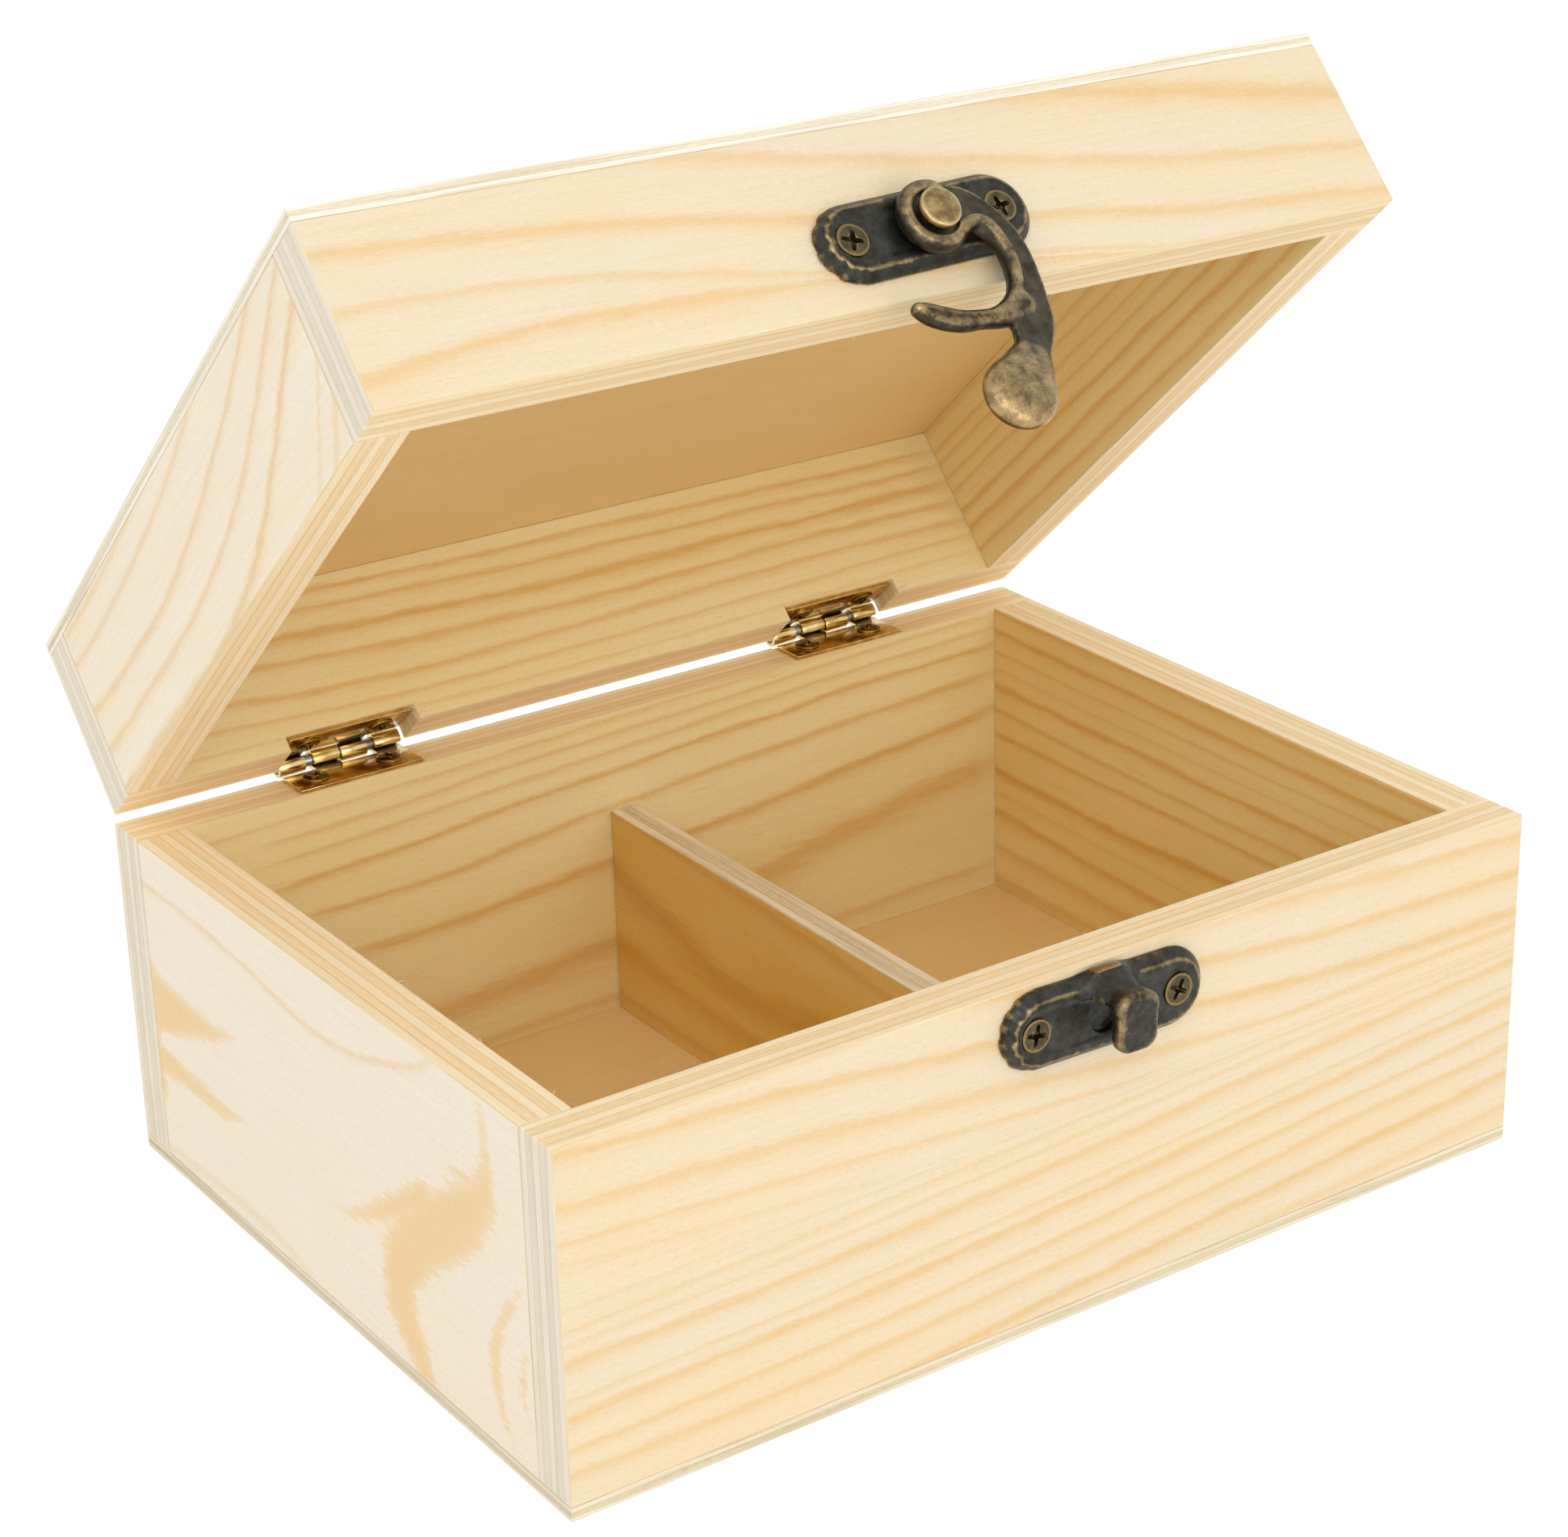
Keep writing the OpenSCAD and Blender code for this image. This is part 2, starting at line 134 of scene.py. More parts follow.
def pine_face(name, early, warm, late, figure):
    """Sanded rotary-cut pine veneer: pale earlywood, and golden latewood lines with soft sides.
    The lines are the whole numbers of the ring count that each panel carries in its own attribute."""
    material, tree, shader = new_material(name)
    place = add(tree, "ShaderNodeAttribute", attribute_name="place").outputs["Vector"]
    ring, width, strength = add(tree, "ShaderNodeSeparateXYZ", {
        0: add(tree, "ShaderNodeAttribute", attribute_name="rings").outputs["Vector"]}).outputs
    # in turn: slow waver of the lines over 15 to 40 mm, tremble of their edges over 1 to 5 mm, drawn tone along
    # the grain 0.6 by 20 mm, cloudy tone over 30 to 80 mm, sanded felt 0.25 by 1 mm, resin canals 0.15 by 2 mm
    waver, tremble, streaks, cloud, felt, canals = (
        add(tree, "ShaderNodeTexNoise", {
            "Vector": add(tree, "ShaderNodeMapping", {"Vector": place, "Scale": scale}),
            "Scale": 1.0, "Detail": detail, "Roughness": rough})
        for scale, detail, rough in (
            ((0.05, 0.25, 0.1), 2.0, 0.5), ((0.16, 1.1, 0.5), 4.0, 0.6), ((0.05, 1.6, 1.0), 4.0, 0.6),
            ((0.018, 0.07, 0.1), 3.0, 0.5), ((1.0, 3.6, 2.0), 2.0, 0.7), ((0.5, 6.0, 2.0), 1.0, 0.5)))
    shift = add(tree, "ShaderNodeMath", {0: tremble, 1: 1.2, 2: waver}, operation="MULTIPLY_ADD")
    shift = add(tree, "ShaderNodeMath", {0: shift, 1: 1.1}, operation="SUBTRACT")
    moved = add(tree, "ShaderNodeMath", {0: shift, 1: width, 2: ring}, operation="MULTIPLY_ADD")
    nearest = add(tree, "ShaderNodeMath", {0: moved}, operation="ROUND")
    off = add(tree, "ShaderNodeMath", {0: moved, 1: nearest}, operation="SUBTRACT")
    off = add(tree, "ShaderNodeMath", {0: off, 1: width}, operation="DIVIDE")
    share = add(tree, "ShaderNodeMapRange", {"Value": off, "From Min": -2.4, "From Max": 1.6})
    line = add(tree, "ShaderNodeValToRGB", {0: share}, [
        (0.0, 0.0), (0.26, 0.08), (0.44, 0.4), (0.55, 0.86), (0.61, 1.0), (0.68, 0.8), (0.77, 0.22), (0.88, 0.0)])
    uneven = add(tree, "ShaderNodeMapRange", {"Value": streaks, "From Min": 0.3, "From Max": 0.7,
                                             "To Min": 0.7, "To Max": 1.1})
    amount = add(tree, "ShaderNodeMath", {0: line, 1: strength}, operation="MULTIPLY")
    amount = add(tree, "ShaderNodeMath", {0: amount, 1: uneven}, operation="MULTIPLY", use_clamp=True)
    # the ground, then the blotches where the knife cut along one ring, with feathered ends
    cloud = add(tree, "ShaderNodeMapRange", {"Value": cloud, "From Min": 0.35, "From Max": 0.7})
    ground = add(tree, "ShaderNodeMix", {0: cloud, 6: early, 7: warm}, data_type="RGBA")
    blot = add(tree, "ShaderNodeAttribute", attribute_name="figure").outputs["Fac"]
    blot = add(tree, "ShaderNodeMath", {0: streaks, 1: 1.3, 2: blot}, operation="MULTIPLY_ADD")
    blot = add(tree, "ShaderNodeMath", {0: tremble, 1: 0.9, 2: blot}, operation="MULTIPLY_ADD")
    blot = add(tree, "ShaderNodeMapRange", {"Value": blot, "From Min": 1.2, "From Max": 2.2})
    blot = add(tree, "ShaderNodeValToRGB", {0: blot}, [(0.12, 0.0), (0.32, 0.6), (0.6, 0.85), (0.95, 1.0)])
    blotted = add(tree, "ShaderNodeMix", {0: blot, 6: ground.outputs[2], 7: figure}, data_type="RGBA")
    lined = add(tree, "ShaderNodeMix", {0: amount, 6: blotted.outputs[2], 7: late}, data_type="RGBA")
    # the sanded felt lies over faint streaks, and the canals are short brown dashes
    pile = add(tree, "ShaderNodeMix", {0: 0.4, 2: felt, 3: streaks}, data_type="FLOAT")
    tint = add(tree, "ShaderNodeValToRGB", {0: pile}, [
        (0.3, colour("#efe8db")), (0.47, colour("#faf7f1")), (0.6, 1.0)])
    fibred = add(tree, "ShaderNodeMix", {0: 0.7, 6: lined.outputs[2], 7: tint}, data_type="RGBA",
                 blend_type="MULTIPLY")
    canals = add(tree, "ShaderNodeValToRGB", {0: canals}, [(0.74, 0.0), (0.82, 0.4)])
    final = add(tree, "ShaderNodeMix", {0: canals, 6: fibred.outputs[2], 7: colour("#c08a4c")}, data_type="RGBA")
    tree.links.new(final.outputs[2], shader.inputs["Base Color"])
    height = add(tree, "ShaderNodeMath", {0: amount, 1: 0.5, 2: felt}, operation="MULTIPLY_ADD")
    bump = add(tree, "ShaderNodeBump", {"Strength": 0.3, "Distance": 0.05 * MM, "Height": height})
    tree.links.new(bump.outputs[0], shader.inputs["Normal"])
    gloss = add(tree, "ShaderNodeMapRange", {"Value": streaks, "To Min": 0.5, "To Max": 0.68})
    tree.links.new(gloss.outputs[0], shader.inputs["Roughness"])
    shader.inputs["Specular IOR Level"].default_value = 0.3
    return material


def ply_edge(name, ply, light, dark, glue, dash):
    """Sawn edge of plywood: long-grain plies and end-grain plies by turns, with thin glue lines between them."""
    material, tree, shader = new_material(name)
    place = add(tree, "ShaderNodeAttribute", attribute_name="place").outputs["Vector"]
    depth = add(tree, "ShaderNodeSeparateXYZ", {0: place}).outputs[2]
    # in turn: uneven thickness of the plies, open cell ends, drawn 0.3 mm wide so that they show, and the drawn
    # lines of the long-grain plies
    waver, cells, drawn = (
        add(tree, "ShaderNodeTexNoise", {
            "Vector": add(tree, "ShaderNodeMapping", {"Vector": place, "Scale": scale}),
            "Scale": 1.0, "Detail": detail, "Roughness": rough})
        for scale, detail, rough in (((0.05, 0.05, 0.02), 4.0, 0.5), ((0.7, 0.7, 3.4), 2.0, 0.7),
                                     ((0.03, 0.03, 3.2), 3.0, 0.6)))
    depth = add(tree, "ShaderNodeMath", {0: waver, 1: 0.6, 2: depth}, operation="MULTIPLY_ADD")
    count = add(tree, "ShaderNodeMath", {0: depth, 1: 0.3}, operation="SUBTRACT")
    count = add(tree, "ShaderNodeMath", {0: count, 1: ply}, operation="DIVIDE")
    pair = add(tree, "ShaderNodeMath", {0: count, 1: 2.0}, operation="FLOORED_MODULO")
    pair = add(tree, "ShaderNodeMath", {0: pair, 1: 0.5}, operation="MULTIPLY")
    cross = add(tree, "ShaderNodeValToRGB", {0: pair}, [(0.0, 0.0), (0.46, 0.0), (0.54, 1.0), (0.96, 1.0),
                                                        (1.0, 0.0)])
    seam = add(tree, "ShaderNodeMath", {0: count, 1: 0.5}, operation="PINGPONG")
    seam = add(tree, "ShaderNodeValToRGB", {0: seam}, [(0.0, 0.85), (0.05, 0.55), (0.12, 0.0)])
    cells = add(tree, "ShaderNodeValToRGB", {0: cells}, [(0.45, 0.0), (0.68, 1.0)])
    drawn = add(tree, "ShaderNodeValToRGB", {0: drawn}, [(0.46, 0.0), (0.66, 1.0)])
    dots = add(tree, "ShaderNodeMath", {0: cells, 1: cross}, operation="MULTIPLY")
    dots = add(tree, "ShaderNodeMath", {0: dots, 1: 0.6, 2: drawn}, operation="MULTIPLY_ADD")
    dots = add(tree, "ShaderNodeMath", {0: dots, 1: 0.6}, operation="MULTIPLY", use_clamp=True)
    base = add(tree, "ShaderNodeMix", {0: cross, 6: light, 7: dark}, data_type="RGBA")
    dashed = add(tree, "ShaderNodeMix", {0: dots, 6: base.outputs[2], 7: dash}, data_type="RGBA")
    glued = add(tree, "ShaderNodeMix", {0: seam, 6: dashed.outputs[2], 7: glue}, data_type="RGBA")
    tree.links.new(glued.outputs[2], shader.inputs["Base Color"])
    height = add(tree, "ShaderNodeMath", {0: seam, 1: -1.0, 2: cells}, operation="MULTIPLY_ADD")
    bump = add(tree, "ShaderNodeBump", {"Strength": 0.3, "Distance": 0.08 * MM, "Height": height})
    tree.links.new(bump.outputs[0], shader.inputs["Normal"])
    shader.inputs["Roughness"].default_value = 0.75
    shader.inputs["Specular IOR Level"].default_value = 0.25
    return material


def line_height(points, u):
    """Height of a grain line at the places u, drawn smoothly through its points and on beyond them."""
    pu, pv = np.array(points, float).T
    reach = 120.0
    first, last = (pv[1] - pv[0]) / (pu[1] - pu[0]), (pv[-1] - pv[-2]) / (pu[-1] - pu[-2])
    grid = np.arange(-200.0, 200.5, 0.5)
    raw = np.interp(grid, np.r_[pu[0] - reach, pu, pu[-1] + reach],
                    np.r_[pv[0] - first * reach, pv, pv[-1] + last * reach])
    spread = 0.28 * float(np.median(np.diff(pu)))
    kernel = np.exp(-0.5 * (np.arange(-60, 61) * 0.5 / spread) ** 2)
    smooth = np.convolve(raw, kernel / kernel.sum(), "same")
    return np.interp(u, grid, smooth)


def ring_field(lines, u, v, ends):
    """Ring count, line width as a share of a ring, and line strength at the places (u, v).
    A line is (width, strength, points), listed from the lowest to the highest."""
    least = 0.55
    heights = np.array([line_height(points, u) for _, _, points in lines])
    steps = least * np.arange(len(lines))[:, None]
    heights = np.maximum.accumulate(heights - steps, 0) + steps
    widths = np.array([w for w, _, _ in lines])
    shown = []
    for _, strength, points in lines:
        start, stop = points[0][0], points[-1][0]
        fade = np.full(u.shape, float(strength))
        if start > ends[0] + 3:
            fade *= np.clip((u - start) / 9 + 0.5, 0, 1)
        if stop < ends[1] - 3:
            fade *= np.clip((stop - u) / 9 + 0.5, 0, 1)
        shown.append(fade)
    guard = 9.0
    heights = np.vstack([heights[:1] - guard, heights, heights[-1:] + guard])
    widths = np.r_[1.0, widths, 1.0]
    shown = np.vstack([np.zeros(u.shape), shown, np.zeros(u.shape)])
    below = np.clip((heights <= v).sum(0) - 1, 0, len(widths) - 2)
    at = np.arange(len(u))
    low, high = heights[below, at], heights[below + 1, at]
    share = np.clip((v - low) / (high - low), 0, 1)
    near = below + (share > 0.5)
    count = below + share
    strength = (1 - share) * shown[below, at] + share * shown[below + 1, at]
    strength = np.where((v < heights[0]) | (v > heights[-1]), 0, strength)
    return np.stack([count, np.clip(widths[near] / (high - low), 0.02, 0.6), strength], 1)


def idle_grain(seed, low, high, ends, pace=5.0, strength=0.6, bend=4.0):
    """Grain for a face that the photograph doesn't show: gently bent lines at uneven distances."""
    draw = np.random.default_rng(seed)
    stations = np.linspace(ends[0], ends[1], 5)
    shape = np.cumsum(draw.normal(0, bend / 3, 5))
    lines, height = [], low - 6.0
    while height < high + 6:
        heights = height + shape + np.cumsum(draw.normal(0, 0.3, 5))
        lines.append((draw.uniform(0.7, 1.5), strength * draw.uniform(0.55, 1.15),
                      tuple(zip(stations, heights))))
        height += pace * draw.uniform(0.45, 1.5)
    return lines


def lattice(ticks, full):
    """The skin of the filled cells between the ticks, as points and outward quads."""
    counts = np.array([len(t) for t in ticks])
    padded = np.pad(full.astype(np.int8), 1)
    quads = []
    for axis in range(3):
        b, c = (axis + 1) % 3, (axis + 2) % 3
        inner = [slice(1, -1)] * 3
        inner[axis] = slice(None)
        step = np.diff(padded[tuple(inner)], axis=axis)
        for sign in (1, -1):
            at = np.argwhere(step == sign)
            corners = []
            for db, dc in ((0, 0), (1, 0), (1, 1), (0, 1)):
                corner = at.copy()
                corner[:, b] += db
                corner[:, c] += dc
                corners.append((corner[:, 0] * counts[1] + corner[:, 1]) * counts[2] + corner[:, 2])
            quad = np.stack(corners, 1)
            quads.append(quad if sign == -1 else quad[:, ::-1])
    quads = np.vstack(quads)
    used, quads = np.unique(quads, return_inverse=True)
    grid = np.stack(np.meshgrid(*ticks, indexing="ij"), -1).reshape(-1, 3)
    return grid[used], quads.reshape(-1, 4)


def rounded(points, faces, radius, segments=2, least_angle=30.0):
    """The same skin with its sharp edges rounded, as points and faces."""
    mesh = bpy.data.meshes.new("scratch")
    mesh.from_pydata(points.tolist(), [], [list(f) for f in faces])
    shape = bmesh.new()
    shape.from_mesh(mesh)
    bpy.data.meshes.remove(mesh)
    sharp = [e for e in shape.edges if e.is_manifold and e.calc_face_angle(0) > math.radians(least_angle)]
    bmesh.ops.bevel(shape, geom=sharp, offset=radius, segments=segments, profile=0.5, affect="EDGES",
                    clamp_overlap=True)
    shape.verts.index_update()
    out = np.array([v.co for v in shape.verts]), [[v.index for v in f.verts] for f in shape.faces]
    shape.free()
    return out


def panel(node, along, through, outward, outer, inner, finish, cell=(2.5, 0.6), cuts=(),
          blots=None, round_off=EDGE_ROUND, gap=0.0):
    """One board. along and through are the axes of its grain and thickness, outward the side that faces out,
    outer and inner the grain lines of its two faces, cuts the boxes that are sawn out of it, and finish the
    materials of the outer face, the inner face, the long edges and the ends. gap is the open joint at each end."""
    low, high = shut_box(node)
    low[along] += gap
    high[along] -= gap
    up = 3 - along - through
    ticks = [None] * 3
    for axis, size in ((along, cell[0]), (up, cell[1]), (through, 2.0)):
        marks = {round(float(v), 4) for box in cuts for v in (box[0][axis], box[1][axis])
                 if low[axis] < v < high[axis]}
        marks |= {round(float(low[axis]), 4), round(float(high[axis]), 4)}
        marks = sorted(marks)
        ticks[axis] = np.unique(np.concatenate([
            np.linspace(a, b, max(2, math.ceil((b - a) / size) + 1)) for a, b in zip(marks, marks[1:])]).round(4))
    centres = [(t[1:] + t[:-1]) / 2 for t in ticks]
    middle = np.stack(np.meshgrid(*centres, indexing="ij"), -1)
    full = np.ones(middle.shape[:3], bool)
    for box in cuts:
        full &= ~np.all((middle > box[0]) & (middle < box[1]), -1)
    points, faces = rounded(*lattice(ticks, full), round_off)
    depth = (high[through] - points[:, through]) if outward > 0 else (points[:, through] - low[through])
    thick = high[through] - low[through]
    ends = (low[along], high[along])
    rings = np.zeros((len(points), 3))
    for lines, side in ((outer, depth < thick / 2), (inner, depth >= thick / 2)):
        rings[side] = ring_field(lines, points[side, along], points[side, up], ends)
    figure = np.zeros(len(points))
    for side, field in (blots or {}).items():
        chosen = (depth < thick / 2) if side == "outer" else (depth >= thick / 2)
        figure[chosen] = field(points[chosen, along], points[chosen, up])
    place = np.stack([points[:, along], points[:, up], depth], 1)
    marks = []
    for f in faces:
        spread, middle = np.ptp(points[f], axis=0), points[f].mean(0)
        if spread[through] < 0.02 and (depth[f[0]] < 0.05 or depth[f[0]] > thick - 0.05):
            marks.append(0 if depth[f[0]] < 0.05 else 1)
        else:
            marks.append(3 if min(middle[along] - low[along], high[along] - middle[along]) < 0.05 else 2)
    return finish_piece(node + ".board", points, faces, BODY_OF[node], [node], finish, marks,
                        {"place": place, "rings": rings, "figure": figure})


def across(stations, *rows):
    """Grain lines from rows of width, strength and the height at each station."""
    return [(w, s, tuple(zip(stations, heights))) for w, s, *heights in rows]


front_face = pine_face("pine_veneer_sanded_front", colour("#ebddc3"), colour("#efdab4"), colour("#e8c387"),
                       colour("#efd09c"))
# the inner faces are the same veneer painted brighter and yellower than the outer faces: painted light that stands
# in for the light inside the box
inside_face_painted_light = pine_face("pine_veneer_inside_painted_light", colour("#f9e9b6"), colour("#f6e2a6"), colour("#e3b05a"),
                        colour("#efc27a"))
wall_edge = ply_edge("pine_plywood_sawn_edge", BOARD_PLY, colour("#ffeecb"), colour("#fde4b8"),
                     colour("#e6c88f"), colour("#efd3a0"))
wall_end = ply_edge("pine_plywood_sawn_end", BOARD_PLY, colour("#f4e9d6"), colour("#efe3cd"), colour("#dacdb5"),
                    colour("#decfb4"))
WIDE_WALL = [front_face, inside_face_painted_light, wall_edge, wall_end]
FRONT_X = (-80, -40, 0, 40, 80)
base_front_lines = across(
    FRONT_X,
    (1.3, 0.5, -14, -7, -1, 3.0, 5.2),
    (1.3, 0.9, -5, 1.2, 4.4, 7.9, 10.7),
    (1.2, 0.7, 6.3, 6.7, 9.0, 12.6, 15.1),
    (0.9, 0.7, 10.0, 10.6, 13.0, 16.2, 19.0),
    (1.3, 0.85, 14.7, 15.6, 17.6, 20.4, 23.2),
    (0.6, 0.5, 17.1, 17.8, 19.8, 22.6, 25.2),
    (1.4, 0.8, 22.1, 22.5, 24.4, 26.7, 29.4),
    (0.6, 0.45, 24.9, 25.6, 27.5, 29.5, 31.0),
    (0.7, 0.5, 26.8, 27.9, 29.7, 31.2, 31.9),
    (0.5, 0.3, 29.7, 30.2, 31.2, 32.0, 32.6),
) + [
    (0.8, 0.35, ((-80, 36), (-40, 32.4), (-34, 31.9))),
    (0.9, 0.6, ((-80, 39.0), (-40, 36.1), (0, 32.6), (15, 31.9))),
] + across(
    FRONT_X,
    (1.6, 0.7, 43.7, 41.3, 36.7, 33.0, 33.1),
    (1.5, 0.85, 50.8, 48.3, 43.0, 37.7, 36.9),
    (1.3, 0.85, 60, 56, 49.5, 44.0, 43.2),
    (1.5, 0.8, 66, 61, 54.5, 50.8, 48.8),
)
panel("base_front_panel", 0, 1, -1, base_front_lines, idle_grain(3, 2, RIM_Z, (-80, 80)),
      WIDE_WALL)

# ---------------------------------------------------------------------------
# Base back panel
# The same board as the front. Two shallow recesses are cut in its rim, in
# which the base leaves of the hinges lie.

LEAF_SIDE = 0.5  # room at each end of a hinge leaf
hinge_boxes = {side: shut_box(f"{side}_hinge_base_leaf") for side in ("left", "right")}
lid_hinge_boxes = {side: shut_box(f"{side}_hinge_lid_leaf") for side in ("left", "right")}
RECESS = 0.2
base_recesses = [(np.array([lo[0] - LEAF_SIDE, lo[1], RIM_Z - RECESS]), np.array([hi[0] + LEAF_SIDE, 70, 90]))
                 for lo, hi in hinge_boxes.values()]
base_back_lines = [
    (1.6, 0.5, ((-72, 2), (0, 4), (72, 6))),
    (3.6, 0.75, ((-72, 8), (-36, 10.5), (0, 13), (30, 17.5), (50, 22), (72, 24))),
    (1.4, 0.85, ((-48, 24.6), (-30, 25), (-10, 26.8), (17, 28.4), (30, 29.9), (50, 31.6), (72, 34.2))),
    (1.1, 0.7, ((-55, 32.7), (-30, 33), (-10, 35.6), (0, 36.4), (20, 38), (40, 39.2), (72, 40.6))),
    (1.0, 0.8, ((-60, 38.3), (-45, 38.8), (-30, 40.2), (-10, 42), (0, 42.3), (20, 43.6), (40, 44.9), (60, 45.3),
                (72, 45.6))),
    (0.8, 0.55, ((-60, 42.6), (-40, 43.2), (-20, 44.8), (0, 45.7), (20, 46.7), (40, 47.8), (60, 48.2),
                 (72, 48.5))),
    (0.8, 0.55, ((-60, 45.7), (-40, 46.2), (-20, 47.8), (0, 48.5), (20, 49.1), (40, 50.4), (70, 51))),
    (0.7, 0.5, ((-72, 48.2), (-60, 48.6), (-20, 50), (0, 50.8), (20, 51.3), (72, 53))),
]
panel("base_back_panel", 0, 1, 1, idle_grain(11, 2, RIM_Z, (-80, 80), pace=6.0), base_back_lines,
      WIDE_WALL, cuts=base_recesses)

# ---------------------------------------------------------------------------
# Base left panel
# A side wall between the front and the back. The knife cut along the rings
# here, so its outer face carries broad orange blotches and few lines.

side_face = pine_face("pine_veneer_flat_cut", colour("#faefde"), colour("#faedd8"), colour("#f0cf9a"),
                      colour("#f6d7a4"))


def stroke(u, v, path):
    """Distance to a line whose half-width changes along its (u, v, half-width) rows."""
    best = 99.0
    for (au, av, ar), (bu, bv, br) in zip(path, path[1:]):
        du, dv = bu - au, bv - av
        t = np.clip(((u - au) * du + (v - av) * dv) / (du * du + dv * dv), 0, 1)
        best = np.minimum(best, np.hypot(u - au - t * du, v - av - t * dv) - ar - t * (br - ar))
    return best


def patch(u, v, path, soft):
    """How far a place lies inside a stroke: 0 outside, 1 well inside."""
    return np.clip(-stroke(u, v, path) / soft, 0, 1)


def left_blots(y, z):
    """The blotches on the outer face of the left wall, widest where the cut ran along a ring."""
    main = patch(y, z, ((-43, 52, 1.6), (-44, 44, 2.6), (-43, 38, 4.2), (-38, 33, 6.0), (-31, 28, 6.6),
                        (-24, 23, 6.4), (-19, 17, 6.0), (-18, 11, 5.6), (-22, 6, 4.6), (-25, 1, 3.4)), 4.0)
    wing = patch(y, z, ((-27, 31, 3.0), (-16, 24, 2.6), (-6, 18.5, 1.6), (5, 16.5, 0.8)), 3.0)
    spur = patch(y, z, ((-40, 38.5, 2.2), (-31, 37.5, 0.9)), 3.0)
    chevron = patch(y, z, ((-51, 29, 1.2), (-48, 25, 1.7), (-45, 21, 2.0), (-43, 16, 2.2), (-43, 12, 2.2),
                           (-44, 8, 2.0), (-46, 4.5, 1.4), (-48, 1, 1.2)), 3.0)
    small = patch(y, z, ((-51, 20, 1.2), (-50, 15, 1.5), (-49.5, 12.5, 1.5), (-51, 10, 1.1)), 2.5)
    tongue = patch(y, z, ((26, 31.3, 0.9), (34, 29.5, 2.9), (44, 28, 4.4), (54, 27, 7.0)), 3.0)
    foot = patch(y, z, ((23, 19.2, 0.9), (32, 18, 2.4), (44, 18, 2.6), (54, 18, 4.0)), 3.0)
    edge = patch(y, z, ((52.5, 33, 2.4), (52.5, 13, 2.8)), 3.0)
    island = patch(y, z, ((41, 22.6, 0.5), (50, 21.8, 1.3)), 1.5)
    return np.max([main, wing, spur, chevron, small, tongue, foot, edge], 0) - 0.9 * island


base_left_lines = [
    (1.4, 0.4, ((9, 3), (20, 4.5), (30, 4.5), (40, 4), (52, 3.2))),
    (0.9, 0.65, ((-31, 51.5), (-28, 50), (-20, 46.5), (-10, 43.8), (0, 42.8), (10, 43.3), (20, 44.9), (30, 45.4),
                 (40, 45.9), (54, 45.5))),
]
panel("base_left_panel", 1, 0, -1, base_left_lines, idle_grain(21, 2, RIM_Z, (-52, 52)),
      [side_face, inside_face_painted_light, wall_edge, wall_end], cell=(1.2, 0.8), blots={"outer": left_blots}, gap=0.06)

# ---------------------------------------------------------------------------
# Base right panel
# The other side wall. Its inner face shows close, nearly level lines, darker
# towards the floor where little light reaches.

base_right_lines = [
    (1.5, 0.5, ((-52, 3.0), (0, 3.4), (52, 3.4))),
    (1.4, 0.5, ((-52, 9.0), (0, 8.6), (52, 9.4))),
    (1.2, 0.7, ((-52, 13.0), (10, 14.2), (30, 14.8), (52, 15.9))),
    (0.5, 0.3, ((-52, 18.0), (10, 18.6), (52, 19.5))),
    (1.3, 0.9, ((-52, 25.5), (-8, 24.2), (10, 22.7), (25, 22.5), (50, 23.2))),
    (0.8, 0.7, ((-52, 30.6), (0, 30.2), (52, 29.8))),
    (0.7, 0.6, ((-52, 34.0), (12, 33.5), (52, 34.1))),
    (1.1, 0.8, ((-52, 38.2), (0, 38.2), (52, 38.4))),
    (0.4, 0.3, ((-52, 41.3), (0, 41.3), (52, 41.5))),
    (0.5, 0.4, ((-52, 44.2), (0, 44.2), (52, 44.4))),
    (1.0, 0.8, ((-52, 47.3), (0, 47.5), (52, 48.0))),
    (0.7, 0.6, ((-52, 51.0), (0, 51.3), (52, 51.4))),
]
right_face = pine_face("pine_veneer_sanded_right", colour("#f6dfa0"), colour("#f0d38a"), colour("#dda544"),
                       colour("#eaba6a"))
panel("base_right_panel", 1, 0, 1, idle_grain(31, 2, RIM_Z, (-52, 52), pace=5.5), base_right_lines,
      [front_face, right_face, wall_edge, wall_end], gap=0.06)

# ---------------------------------------------------------------------------
# Base bottom sheet
# Thin three-ply sheet glued under the four walls. Its edge shows all round
# as a pale strip with one darker ply.

SHEET_PLY = 0.667
sheet_face = pine_face("thin_plywood_face_outside", colour("#f2e6cf"), colour("#f3e1c2"), colour("#e9c78c"),
                       colour("#eccb95"))
sheet_inside = pine_face("thin_plywood_face_inside", colour("#f2d59e"), colour("#efcf91"), colour("#e6bf82"),
                         colour("#eccb95"))
sheet_edge = ply_edge("thin_plywood_sawn_edge", SHEET_PLY, colour("#efe4ce"), colour("#e2d3b6"),
                      colour("#cdb995"), colour("#c8b590"))
bottom_outer = idle_grain(41, -60, 60, (-80, 80), pace=9.0, strength=0.5, bend=8.0)
bottom_inner = idle_grain(42, -60, 60, (-80, 80), pace=13.0, strength=0.12, bend=6.0)
panel("base_bottom_sheet", 0, 2, -1, bottom_outer, bottom_inner,
      [sheet_face, sheet_inside, sheet_edge, sheet_edge], cell=(4.0, 1.5), round_off=0.12)

# ---------------------------------------------------------------------------
# Divider
# A thinner board from front to back, lower than the rim. Its left face is the
# deep orange side of the veneer.

